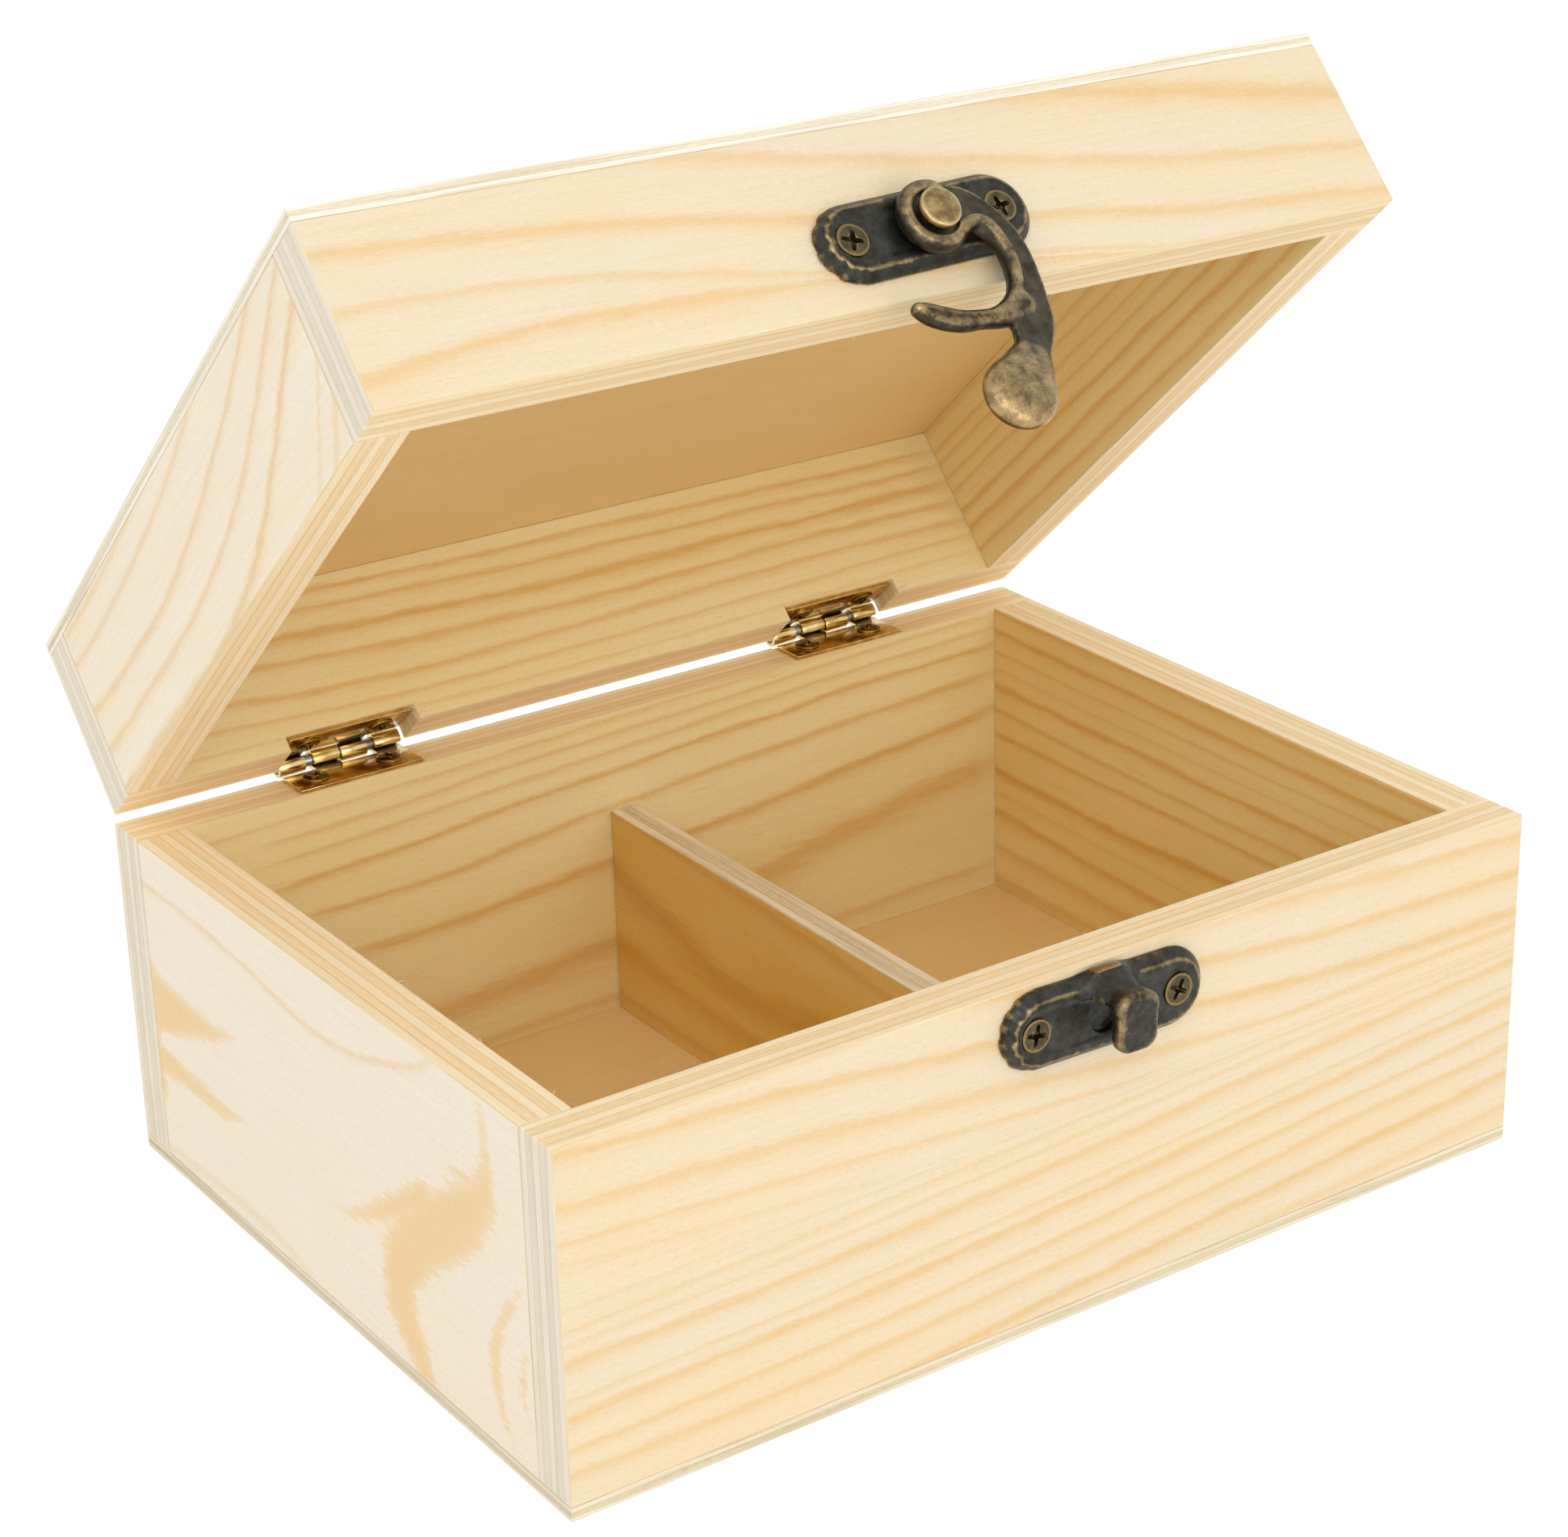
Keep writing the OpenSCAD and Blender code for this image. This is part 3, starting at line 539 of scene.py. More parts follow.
DIVIDER_PLY = 1.6
divider_face = pine_face("pine_veneer_heartwood", colour("#edc97c"), colour("#e5b654"), colour("#c88a2c"),
                         colour("#d29c48"))
divider_edge = ply_edge("divider_sawn_edge", DIVIDER_PLY, colour("#f6e8cc"), colour("#e9d9b8"),
                        colour("#c9b691"), colour("#b8a27a"))
divider_left_lines = [
    (1.5, 0.4, ((-52, 3.5), (0, 4), (52, 4.4))),
    (2.6, 0.45, ((-52, 12), (17, 11), (30, 11.5), (52, 13))),
    (4.4, 0.6, ((-52, 24), (0, 20), (10, 17.5), (20, 17.5), (30, 20), (40, 23), (52, 25.5))),
    (1.4, 0.35, ((-52, 30), (-10, 33), (0, 34), (52, 36))),
]
panel("divider", 1, 0, -1, divider_left_lines, idle_grain(51, 2, 36, (-52, 52), pace=6.0),
      [divider_face, inside_face_painted_light, divider_edge, divider_edge], gap=0.12)

# ---------------------------------------------------------------------------
# Lid front panel
# The wide front wall of the lid, of the same five-ply board. Its bands run
# down to the right, and the broadest stays near the top sheet.

LID_RIM_Z = shut_box("lid_front_panel")[0][2]
lid_front_lines = [
    (1.8, 0.85, ((-80, 56), (-66, 57.8), (-60, 58.5), (-48, 58.6), (0, 56.8), (28, 53.5), (60, 48), (80, 44))),
    (1.1, 0.6, ((-80, 65.1), (-60, 65.7), (-40, 63.5), (0, 55.2), (40, 49), (80, 45.5))),
] + across(
    FRONT_X,
    (1.5, 0.8, 73.2, 70.8, 63.8, 57.5, 54.1),
    (1.5, 0.7, 86, 80, 72.8, 65.5, 61.4),
    (3.0, 0.9, 94, 88, 82, 76.9, 70.1),
)
panel("lid_front_panel", 0, 1, -1, lid_front_lines, idle_grain(61, LID_RIM_Z, 80, (-80, 80)),
      WIDE_WALL)

# ---------------------------------------------------------------------------
# Lid back panel
# The full-width back wall of the lid. Two deep notches through its rim take
# the hinges, and the cutter has torn the wood at their right ends.

NOTCH = 2.5
lid_notches = [(np.array([lo[0] - LEAF_SIDE, lo[1] - 9, LID_RIM_Z - 9]),
                np.array([hi[0] + LEAF_SIDE, 70, LID_RIM_Z + NOTCH])) for lo, hi in lid_hinge_boxes.values()]
lid_back_lines = [
    (0.5, 0.35, ((-72, 54.7), (0, 54), (60, 56), (72, 56.2))),
    (0.7, 0.5, ((-72, 58.2), (-65, 58), (-30, 56.4), (0, 57), (20, 57.4), (50, 58.4), (72, 58.7))),
    (1.0, 0.65, ((-72, 62.3), (-61, 61.5), (-50, 60.5), (-30, 59.5), (0, 60.4), (20, 61), (50, 61.8),
                 (72, 61.5))),
    (1.1, 0.7, ((-72, 66.4), (-55, 65.9), (-30, 64.5), (0, 64), (30, 64.6), (50, 65.3), (72, 64.8))),
    (1.3, 0.85, ((-72, 70.4), (-50, 69.8), (-30, 68.5), (0, 68), (40, 68.2), (72, 68.2))),
    (0.9, 0.65, ((-72, 74.3), (-45, 73.5), (-30, 72.5), (0, 72.1), (40, 71.9), (60, 71.3), (72, 71.7))),
    (0.9, 0.7, ((-72, 77), (-40, 75.9), (-20, 75.2), (0, 75.1), (30, 75), (50, 74.5), (72, 74.4))),
]
panel("lid_back_panel", 0, 1, 1, idle_grain(71, LID_RIM_Z, 80, (-80, 80)), lid_back_lines,
      WIDE_WALL, cuts=lid_notches)

# ---------------------------------------------------------------------------
# Lid left panel
# The left wall of the lid. Its lines climb steeply towards the front.

lid_left_y = (-60, -40, -20, 0, 20, 40, 60)
lid_left_lines = across(
    lid_left_y,
    (1.6, 0.6, 66, 46, 38, 34, 33, 33, 33),
    (0.9, 0.45, 71, 52, 43, 40, 39, 39, 39),
    (1.4, 0.85, 75.5, 65.7, 56, 52, 52.5, 52.9, 53),
    (1.1, 0.7, 80, 71.5, 63.1, 59.5, 58.6, 59, 59.7),
    (1.0, 0.7, 85, 77.3, 70.9, 66.2, 64.1, 64.5, 66),
    (0.9, 0.6, 92, 86, 78.6, 75, 73, 72.3, 73),
    (0.9, 0.6, 95, 90, 84, 79.5, 77.5, 76.9, 77.3),
)
lid_left_face = pine_face("pine_veneer_sanded_side", colour("#fbf0dc"), colour("#faebd0"), colour("#f0ca92"),
                          colour("#f6d9a8"))
panel("lid_left_panel", 1, 0, -1, lid_left_lines, idle_grain(81, LID_RIM_Z, 80, (-52, 52)),
      [lid_left_face, inside_face_painted_light, wall_edge, wall_end], gap=0.05)

# ---------------------------------------------------------------------------
# Lid right panel
# The right wall of the lid, seen from inside, with close level lines.

lid_right_y = (-52, 0, 50)
lid_right_lines = across(
    lid_right_y,
    (0.9, 0.65, 54.6, 54.6, 55.8),
    (1.1, 0.8, 58.2, 58.6, 59.5),
    (0.9, 0.8, 61.6, 62.3, 62.8),
    (0.7, 0.5, 64.6, 65.5, 66.5),
    (0.6, 0.45, 67.2, 68.2, 68.9),
    (0.7, 0.5, 70.0, 71.0, 71.8),
    (0.7, 0.5, 73.0, 73.6, 73.9),
    (0.7, 0.4, 76.6, 77.0, 77.4),
)
panel("lid_right_panel", 1, 0, 1, idle_grain(91, LID_RIM_Z, 80, (-52, 52)), lid_right_lines,
      WIDE_WALL, gap=0.05)

# ---------------------------------------------------------------------------
# Lid top sheet
# Thin three-ply sheet glued on the four walls of the lid. It is plain inside
# and shows a pale edge all round.

lid_sheet_edge = ply_edge("thin_plywood_lid_edge", SHEET_PLY, colour("#fdf6e8"), colour("#f1e4c9"),
                          colour("#dfceab"), colour("#d2bd96"))
top_outer = idle_grain(101, -60, 60, (-80, 80), pace=8.0, strength=0.6, bend=9.0)
top_inner = idle_grain(102, -60, 60, (-80, 80), pace=14.0, strength=0.10, bend=5.0)
panel("lid_top_sheet", 0, 2, 1, top_outer, top_inner, [sheet_face, sheet_inside, lid_sheet_edge, lid_sheet_edge],
      cell=(4.0, 1.5), round_off=0.12)

# ---------------------------------------------------------------------------
# Hinge leaves
# Brass strip, 0.7 mm thick, blanked and rolled round the pin into two
# knuckles a leaf, then polished. Each leaf lies flat on its recess.

PIN_BORE = 0.97
KNUCKLE_R = 1.5
LEAF_CUT_BACK = 1.35 * KNUCKLE_R
KNUCKLE_GAP, MIDDLE_GAP = 1.3, 0.3


def polished_brass(name, dark, middle, light):
    """Yellow brass, rolled, blanked and polished: mirror-like, with fine drawn scratches along the strip."""
    material, tree, shader = new_material(name)
    place = add(tree, "ShaderNodeTexCoord").outputs["Object"]
    clouds = add(tree, "ShaderNodeTexNoise", {"Vector": place, "Scale": 420.0, "Detail": 3.0})
    tone = add(tree, "ShaderNodeValToRGB", {0: clouds}, [
        (0.3, dark), (0.55, middle), (0.75, light)])
    tree.links.new(tone.outputs[0], shader.inputs["Base Color"])
    drawn = add(tree, "ShaderNodeTexNoise", {"Vector": add(tree, "ShaderNodeMapping",
                {"Vector": place, "Scale": (300.0, 9000.0, 9000.0)}), "Scale": 1.0, "Detail": 2.0})
    rough = add(tree, "ShaderNodeMapRange", {"Value": clouds, "To Min": 0.1, "To Max": 0.26})
    tree.links.new(rough.outputs[0], shader.inputs["Roughness"])
    bump = add(tree, "ShaderNodeBump", {"Strength": 0.12, "Distance": 0.01 * MM, "Height": drawn})
    tree.links.new(bump.outputs[0], shader.inputs["Normal"])
    shader.inputs["Metallic"].default_value = 1.0
    return material


brass = polished_brass("yellow_brass_polished", colour("#c3a35f"), colour("#e0c484"), colour("#f1dfae"))


def rolled_leaf(node, flip, knuckles):
    """One leaf: a flat strip, and the knuckles rolled from it round the pin. flip turns it over for the lid."""
    low, high = shut_box(node)
    thick = 0.7
    floor = AXIS_Z - KNUCKLE_R
    back = AXIS_Y - LEAF_CUT_BACK
    length = (high[0] - low[0] - 2 * KNUCKLE_GAP - MIDDLE_GAP) / 4
    starts = low[0] + np.array([0, length + KNUCKLE_GAP, 2 * length + KNUCKLE_GAP + MIDDLE_GAP,
                                3 * length + 2 * KNUCKLE_GAP + MIDDLE_GAP])
    spans = [(starts[k], starts[k] + length) for k in knuckles]
    ticks = sorted({low[0], high[0], *(v for span in spans for v in span)})
    shape = bmesh.new()

    def corner(x, y, z):
        return shape.verts.new((x, y, 2 * AXIS_Z - z if flip else z))

    rows = [[corner(x, y, z) for y, z in ((low[1], floor), (back, floor), (back, floor + thick),
                                          (low[1], floor + thick))] for x in ticks]
    for a, b, x in zip(rows, rows[1:], ticks):
        rolled_here = any(abs(x - start) < 1e-6 for start, _ in spans)
        for i in range(4):
            if not (i == 1 and rolled_here):
                shape.faces.new((a[i], b[i], b[(i + 1) % 4], a[(i + 1) % 4]))
    shape.faces.new(rows[0])
    shape.faces.new(rows[-1][::-1])
    inner_start = math.asin((floor + thick - AXIS_Z) / PIN_BORE)
    outer = [(AXIS_Y + KNUCKLE_R * math.cos(t), AXIS_Z + KNUCKLE_R * math.sin(t))
             for t in np.radians(np.linspace(-90, 190, 29))]
    inner = [(AXIS_Y + PIN_BORE * math.cos(t), AXIS_Z + PIN_BORE * math.sin(t))
             for t in np.linspace(math.radians(190), -math.pi - inner_start, 29)]
    profile = [(back, floor), *outer, *inner, (back, floor + thick)]
    for start, stop in spans:
        ends = [[corner(x, y, z) for y, z in profile] for x in (start, stop)]
        for i in range(len(profile) - 1):
            shape.faces.new((ends[0][i], ends[1][i], ends[1][i + 1], ends[0][i + 1]))
        shape.faces.new(ends[0])
        shape.faces.new(ends[1][::-1])
    bmesh.ops.remove_doubles(shape, verts=shape.verts, dist=1e-5)
    bmesh.ops.recalc_face_normals(shape, faces=shape.faces)
    shape.verts.index_update()
    points = np.array([v.co for v in shape.verts])
    faces = [[v.index for v in f.verts] for f in shape.faces]
    shape.free()
    points, faces = rounded(points, faces, 0.07, 2, 40)
    piece = finish_piece(node + ".strip", points, faces, BODY_OF[node], [node], [brass],
                         smooth=True)
    piece.data.set_sharp_from_angle(angle=math.radians(35))


for side in ("left", "right"):
    rolled_leaf(f"{side}_hinge_base_leaf", False, (1, 3))
    rolled_leaf(f"{side}_hinge_lid_leaf", True, (0, 2))

# ---------------------------------------------------------------------------
# Hinge pins
# Drawn steel wire, cut to length with rounded ends and pressed into the
# knuckles of the base leaf.

# bare drawn steel: grey, with a soft gloss and scratches along the wire
steel, steel_tree, steel_shader = new_material("drawn_steel_wire")
steel_place = add(steel_tree, "ShaderNodeTexCoord").outputs["Object"]
steel_marks = add(steel_tree, "ShaderNodeTexNoise", {"Vector": add(steel_tree, "ShaderNodeMapping",
                  {"Vector": steel_place, "Scale": (900.0, 5000.0, 5000.0)}), "Scale": 1.0, "Detail": 3.0})
steel_tone = add(steel_tree, "ShaderNodeValToRGB", {0: steel_marks}, [
    (0.3, colour("#7d8086")), (0.7, colour("#b4b7bc"))])
steel_tree.links.new(steel_tone.outputs[0], steel_shader.inputs["Base Color"])
steel_rough = add(steel_tree, "ShaderNodeMapRange", {"Value": steel_marks, "To Min": 0.22, "To Max": 0.4})
steel_tree.links.new(steel_rough.outputs[0], steel_shader.inputs["Roughness"])
steel_shader.inputs["Metallic"].default_value = 1.0


def lathed(profile, segments):
    """A round solid about the X axis from (x, radius) rows; the first and last radius are zero."""
    turns = np.linspace(0, 2 * math.pi, segments, endpoint=False)
    points = [(profile[0][0], 0.0, 0.0)]
    for x, r in profile[1:-1]:
        points += [(x, r * math.cos(t), r * math.sin(t)) for t in turns]
    points.append((profile[-1][0], 0.0, 0.0))
    rows = len(profile) - 2
    faces = []
    for k in range(segments):
        n = (k + 1) % segments
        faces.append((0, 1 + n, 1 + k))
        for row in range(rows - 1):
            a, b = 1 + row * segments, 1 + (row + 1) * segments
            faces.append((a + k, a + n, b + n, b + k))
        last = 1 + (rows - 1) * segments
        faces.append((last + k, last + n, len(points) - 1))
    return np.array(points), faces


for side in ("left", "right"):
    low, high = shut_box(f"{side}_hinge_pin")
    radius, chamfer = (high[2] - low[2]) / 2, 0.35
    wire = [(low[0], 0), (low[0], radius - chamfer), (low[0] + 0.1, radius - 0.15), (low[0] + chamfer, radius),
            (high[0] - chamfer, radius), (high[0] - 0.1, radius - 0.15), (high[0], radius - chamfer),
            (high[0], 0)]
    points, faces = lathed(wire, 28)
    pin = finish_piece(f"{side}_hinge_pin.wire", points + np.array([0, AXIS_Y, AXIS_Z]), faces, "base",
                       [f"{side}_hinge_pin"], [steel], smooth=True)
    pin.data.set_sharp_from_angle(angle=math.radians(50))

# ---------------------------------------------------------------------------
# Hinge screws
# Small brass wood screws with low dome heads and a pressed cross recess. Two
# hold each leaf.

HEAD_H, DOME_HEAD_R, DOME_SIDE = 0.65, 1.95, 0.38
DOME_R = (DOME_HEAD_R**2 + (HEAD_H - DOME_SIDE)**2) / (2 * (HEAD_H - DOME_SIDE))


def skin(field, low, high, step):
    """Points, outward quads and edge wear (0 to 1) of the solid where field(x, y, z) is below zero."""
    axes = [np.arange(a - 2 * step, b + 3 * step, step) for a, b in zip(low, high)]
    f = np.array(np.broadcast_to(field(*np.meshgrid(*axes, indexing="ij", sparse=True)), [len(a) for a in axes]))
    inside = f < 0
    shape = tuple(n - 1 for n in f.shape)
    total, hits = np.zeros((*shape, 3)), np.zeros(shape)
    for axis in range(3):
        for du in (0, 1):
            for dv in (0, 1):
                start = np.insert([du, dv], axis, 0)
                stop = np.insert([du, dv], axis, 1)
                a = f[tuple(slice(o, o + n) for o, n in zip(start, shape))]
                b = f[tuple(slice(o, o + n) for o, n in zip(stop, shape))]
                crossed = (a < 0) != (b < 0)
                share = np.where(crossed, a / np.where(crossed, a - b, 1), 0)
                for k in range(3):
                    total[..., k] += (start[k] + (share if k == axis else 0)) * crossed
                hits += crossed
    active = hits > 0
    index = np.full(shape, -1)
    index[active] = np.arange(active.sum())
    cells = np.argwhere(active)
    points = (cells + total[active] / hits[active][:, None]) * step + np.array([a[0] for a in axes])
    quads = []
    for axis in range(3):
        b, c = (axis + 1) % 3, (axis + 2) % 3
        here = [slice(1, n - 1) for n in f.shape]
        here[axis] = slice(0, f.shape[axis] - 1)
        ahead = list(here)
        ahead[axis] = slice(1, f.shape[axis])
        first, second = inside[tuple(here)], inside[tuple(ahead)]
        for filled in (True, False):
            at = np.argwhere((first != second) & (first == filled))
            at[:, b] += 1
            at[:, c] += 1
            corners = []
            for db, dc in ((1, 1), (0, 1), (0, 0), (1, 0)):
                cell = at.copy()
                cell[:, b] -= db
                cell[:, c] -= dc
                corners.append(index[tuple(cell.T)])
            quad = np.stack(corners, 1)
            quads.append(quad if filled else quad[:, ::-1])
    reach = max(1, round(0.45 / step))
    swell = -f
    for axis in range(3):
        for side in (-reach, reach):
            swell = swell + np.roll(f, side, axis) / 6
    wear = sum(swell[tuple(slice(o, o + n) for o, n in zip(corner, shape))] for corner in np.ndindex(2, 2, 2))
    return points, np.vstack(quads), 2.5 * wear[active] / 8 / (reach * step)


def merge(a, b, soft):
    """The union of two distance fields with a fillet between them."""
    h = np.clip(0.5 + 0.5 * (b - a) / soft, 0, 1)
    return b + (a - b) * h - soft * h * (1 - h)


def common(a, b, soft):
    """The shape that two distance fields share, with its edge rounded."""
    return -merge(-a, -b, soft)


def dome_screw(x, y, z):
    """Low dome head on z = 0 with a cross recess, and a short shank below it."""
    r = np.hypot(x, y)
    ball = np.hypot(r, z - HEAD_H + DOME_R) - DOME_R
    head = common(common(ball, -z, 0.05), r - DOME_HEAD_R, 0.12)
    shank = common(common(r - 0.9, z - 0.2, 0.1), -z - 2.2, 0.1)
    cross = np.minimum(np.maximum(np.abs(x) - 0.26, np.abs(y) - 1.25),
                       np.maximum(np.abs(y) - 0.26, np.abs(x) - 1.25))
    recess = common(np.minimum(cross, r - 0.6), -z - 0.2, 0.05)
    return common(merge(head, shank, 0.1), -recess, 0.08)


def template(name, field, low, high, step, material):
    """A screw that the geometry nodes copy. It is deleted when they are done."""
    points, faces, wear = skin(field, low, high, step)
    mesh = bpy.data.meshes.new(name)
    mesh.from_pydata(points.tolist(), [], faces.tolist())
    mesh.attributes.new("wear", "FLOAT", "POINT").data.foreach_set("value", wear.astype(np.float32))
    mesh.materials.append(material)
    made = bpy.data.objects.new(name, mesh)
    bpy.context.scene.collection.objects.link(made)
    return made


def started_tree(name, inputs):
    """A geometry-node tree with these inputs and a geometry output: the tree, its sockets and what they give."""
    tree = bpy.data.node_groups.new(name, "GeometryNodeTree")
    sockets = {label: tree.interface.new_socket(label, in_out="INPUT", socket_type="NodeSocket" + kind)
               for label, kind in inputs}
    tree.interface.new_socket("Geometry", in_out="OUTPUT", socket_type="NodeSocketGeometry")
    return tree, sockets, tree.nodes.new("NodeGroupInput").outputs


def finished_tree(tree, copies, finish):
    """The end of a tree: the copies are made real, dressed and handed out."""
    real = add(tree, "GeometryNodeRealizeInstances", {0: copies})
    dressed = add(tree, "GeometryNodeSetMaterial", {"Geometry": real, "Material": finish})
    add(tree, "NodeGroupOutput", {0: dressed})


def screw_row_tree():
    """Copies of one screw in a row along X, each turned to its own angle as a hand leaves it."""
    tree, sockets, given = started_tree("screw_row", (
        ("Screw", "Object"), ("Count", "Int"), ("Spacing", "Float"), ("Seed", "Int"), ("Finish", "Material")))
    offset = add(tree, "ShaderNodeCombineXYZ", {"X": given["Spacing"]})
    row = add(tree, "GeometryNodeMeshLine", {"Count": given["Count"], "Offset": offset})
    screw = add(tree, "GeometryNodeObjectInfo", {"Object": given["Screw"]})
    angle = add(tree, "FunctionNodeRandomValue", {2: 0.0, 3: 1.57, "Seed": given["Seed"]})
    turn = add(tree, "ShaderNodeCombineXYZ", {"Z": angle.outputs[1]})
    copies = add(tree, "GeometryNodeInstanceOnPoints", {"Points": row, "Instance": screw.outputs["Geometry"],
                                                        "Rotation": turn})
    finished_tree(tree, copies, given["Finish"])
    return tree, sockets


screw_tree, screw_sockets = screw_row_tree()


def grown(tree, sockets, values):
    """Points, faces and wear of what a geometry-node tree makes from these named values, in its own units."""
    host = bpy.data.objects.new("host", bpy.data.meshes.new("host"))
    bpy.context.scene.collection.objects.link(host)
    modifier = host.modifiers.new("grow", "NODES")
    modifier.node_group = tree
    for name, value in values.items():
        modifier[sockets[name].identifier] = value
    bpy.context.view_layer.update()
    mesh = bpy.data.meshes.new_from_object(host.evaluated_get(bpy.context.evaluated_depsgraph_get()))
    host.modifiers.remove(modifier)
    points = np.array([v.co for v in mesh.vertices])
    faces = [list(p.vertices) for p in mesh.polygons]
    wear = np.zeros(len(points))
    if "wear" in mesh.attributes:
        mesh.attributes["wear"].data.foreach_get("value", wear)
    bpy.data.objects.remove(host)
    bpy.data.meshes.remove(mesh)
    return points, faces, wear


def screw_row(node, screw, count, spacing, seed, start, axes, material):
    """A row of screws that stands in for a CAD node. axes are the row's direction, its side and the way out."""
    points, faces, wear = grown(screw_tree, screw_sockets, {
        "Screw": screw, "Count": count, "Spacing": spacing, "Seed": seed, "Finish": material})
    points = points @ np.array(axes, float) + np.array(start, float)
    if np.linalg.det(np.array(axes, float)) < 0:
        faces = [f[::-1] for f in faces]
    finish_piece(node + ".set", points, faces, BODY_OF[node], [node], [material],
                 attributes={"wear": wear}, smooth=True)


# tarnished in the drum, so the heads show darker than the leaves, with a bright edge
screw_brass = polished_brass("yellow_brass_tarnished", colour("#6a5526"), colour("#8f763c"), colour("#b79a58"))
dome = template("dome_screw", dome_screw, (-2.1, -2.1, -2.3), (2.1, 2.1, 0.8), 0.1, screw_brass)
for number, side in enumerate(("left", "right")):
    low, high = shut_box(f"{side}_hinge_base_screws")
    gap = high[0] - low[0] - 2 * DOME_HEAD_R
    middle = (low[1] + high[1]) / 2
    screw_row(f"{side}_hinge_base_screws", dome, 2, gap, 5 + number,
              (low[0] + DOME_HEAD_R, middle, high[2] - HEAD_H), ((1, 0, 0), (0, 1, 0), (0, 0, 1)), screw_brass)
    low, high = shut_box(f"{side}_hinge_lid_screws")
    screw_row(f"{side}_hinge_lid_screws", dome, 2, gap, 8 + number,
              (low[0] + DOME_HEAD_R, middle, low[2] + HEAD_H), ((1, 0, 0), (0, -1, 0), (0, 0, -1)), screw_brass)
bpy.data.objects.remove(dome)

# ---------------------------------------------------------------------------
# Catch plate
# A zinc casting with an antique bronze finish. A hood grows out of the plate
# and carries a rounded block, under which the finger of the hook slides.


def antique_bronze(name, dark, cool, worn, start):
    """Zinc casting, bronzed nearly black, then tumbled: raised edges rub through to dull gold.
    start is the sum of wear and blotches at which the gold begins to show."""
    material, tree, shader = new_material(name)
    place = add(tree, "ShaderNodeTexCoord").outputs["Object"]
    wear = add(tree, "ShaderNodeAttribute", attribute_name="wear").outputs["Fac"]
    blotches = add(tree, "ShaderNodeTexNoise", {"Vector": place, "Scale": 520.0, "Detail": 5.0, "Roughness": 0.65})
    grit = add(tree, "ShaderNodeTexNoise", {"Vector": place, "Scale": 3200.0, "Detail": 3.0, "Roughness": 0.7})
    patina = add(tree, "ShaderNodeValToRGB", {0: blotches}, [(0.36, dark), (0.66, cool)])
    rub = add(tree, "ShaderNodeMath", {0: blotches, 1: 0.7, 2: wear}, operation="MULTIPLY_ADD")
    rub = add(tree, "ShaderNodeMath", {0: grit, 1: 0.3, 2: rub}, operation="MULTIPLY_ADD")
    rub = add(tree, "ShaderNodeValToRGB", {0: rub}, [(start, 0.0), (start + 0.18, 0.55), (start + 0.4, 1.0)])
    tone = add(tree, "ShaderNodeMix", {0: rub, 6: patina, 7: worn}, data_type="RGBA")
    tree.links.new(tone.outputs[2], shader.inputs["Base Color"])
    rough = add(tree, "ShaderNodeMapRange", {"Value": rub, "To Min": 0.36, "To Max": 0.28})
    tree.links.new(rough.outputs[0], shader.inputs["Roughness"])
    metal = add(tree, "ShaderNodeMapRange", {"Value": rub, "To Min": 0.85, "To Max": 1.0})
    tree.links.new(metal.outputs[0], shader.inputs["Metallic"])
    height = add(tree, "ShaderNodeMath", {0: blotches, 1: 1.6, 2: grit}, operation="MULTIPLY_ADD")
    bump = add(tree, "ShaderNodeBump", {"Strength": 0.5, "Distance": 0.08 * MM, "Height": height})
    tree.links.new(bump.outputs[0], shader.inputs["Normal"])
    return material


bronze = antique_bronze("antique_bronze_casting", colour("#322f27"), colour("#484843"), colour("#a68d60"), 0.7)
FLAT_HEAD_R = 2.45
PLATE_LEN, PLATE_H, PLATE_T = 33.5, 11.4, 2.2
PLATE_SCREW_GAP = 23.8


def stadium(x, z):
    """Distance to the outline of the latch plates, with the ragged casting edge at the left end."""
    reach = (PLATE_LEN - PLATE_H) / 2
    d = np.hypot(x - np.clip(x, -reach, reach), z) - PLATE_H / 2
    angle = np.arctan2(z, -(x + reach))
    ragged = np.clip((-x - reach) / 2, 0, 1)
    return d + ragged * (0.12 + 0.12 * np.sin(9 * angle + 0.6) + 0.08 * np.sin(17 * angle))


def plate_field(x, w, z):
    """Latch plate: sloping edge, slightly dished face, and seats for two flat screws. w is the way out."""
    d = stadium(x, z)
    slope = (d * 1.4 + (w - 0.8) * 1.25) / 1.88
    dish = 0.3 * np.clip((-d - 1.5) / 1.3, 0, 1) ** 2
    cast = 0.05 * np.sin(0.9 * x + 0.4) * np.sin(1.1 * z + 1.0)
    face = w - PLATE_T + dish + cast
    body = common(common(common(d, slope, 0.3), face, 0.28), -w, 0.1)
    for at in (-PLATE_SCREW_GAP / 2, PLATE_SCREW_GAP / 2):
        r = np.hypot(x - at, z)
        seat = (r - FLAT_HEAD_R - 0.1 + (PLATE_T - w)) * 0.7
        body = common(body, -seat, 0.12)
    return body


def flat_screw(x, y, z):
    """Flat head with a deep cross recess, its top on z = 0, and the start of the shank."""
    r = np.hypot(x, y)
    head = common(common(z, (r - FLAT_HEAD_R - z) * 0.72, 0.15), -z - 1.5, 0.1)
    head = common(head, r - FLAT_HEAD_R, 0.08)
    shank = common(common(r - 1.2, z + 0.5, 0.1), -z - 4.0, 0.1)
    cross = np.minimum(np.abs(x) - 0.42 + 0.12 * np.abs(y), np.abs(y) - 0.42 + 0.12 * np.abs(x))
    recess = common(common(np.minimum(cross, r - 0.62), r - 1.6 - 0.5 * z, 0.1), -z - 1.2, 0.05)
    return common(merge(head, shank, 0.1), -recess, 0.1)


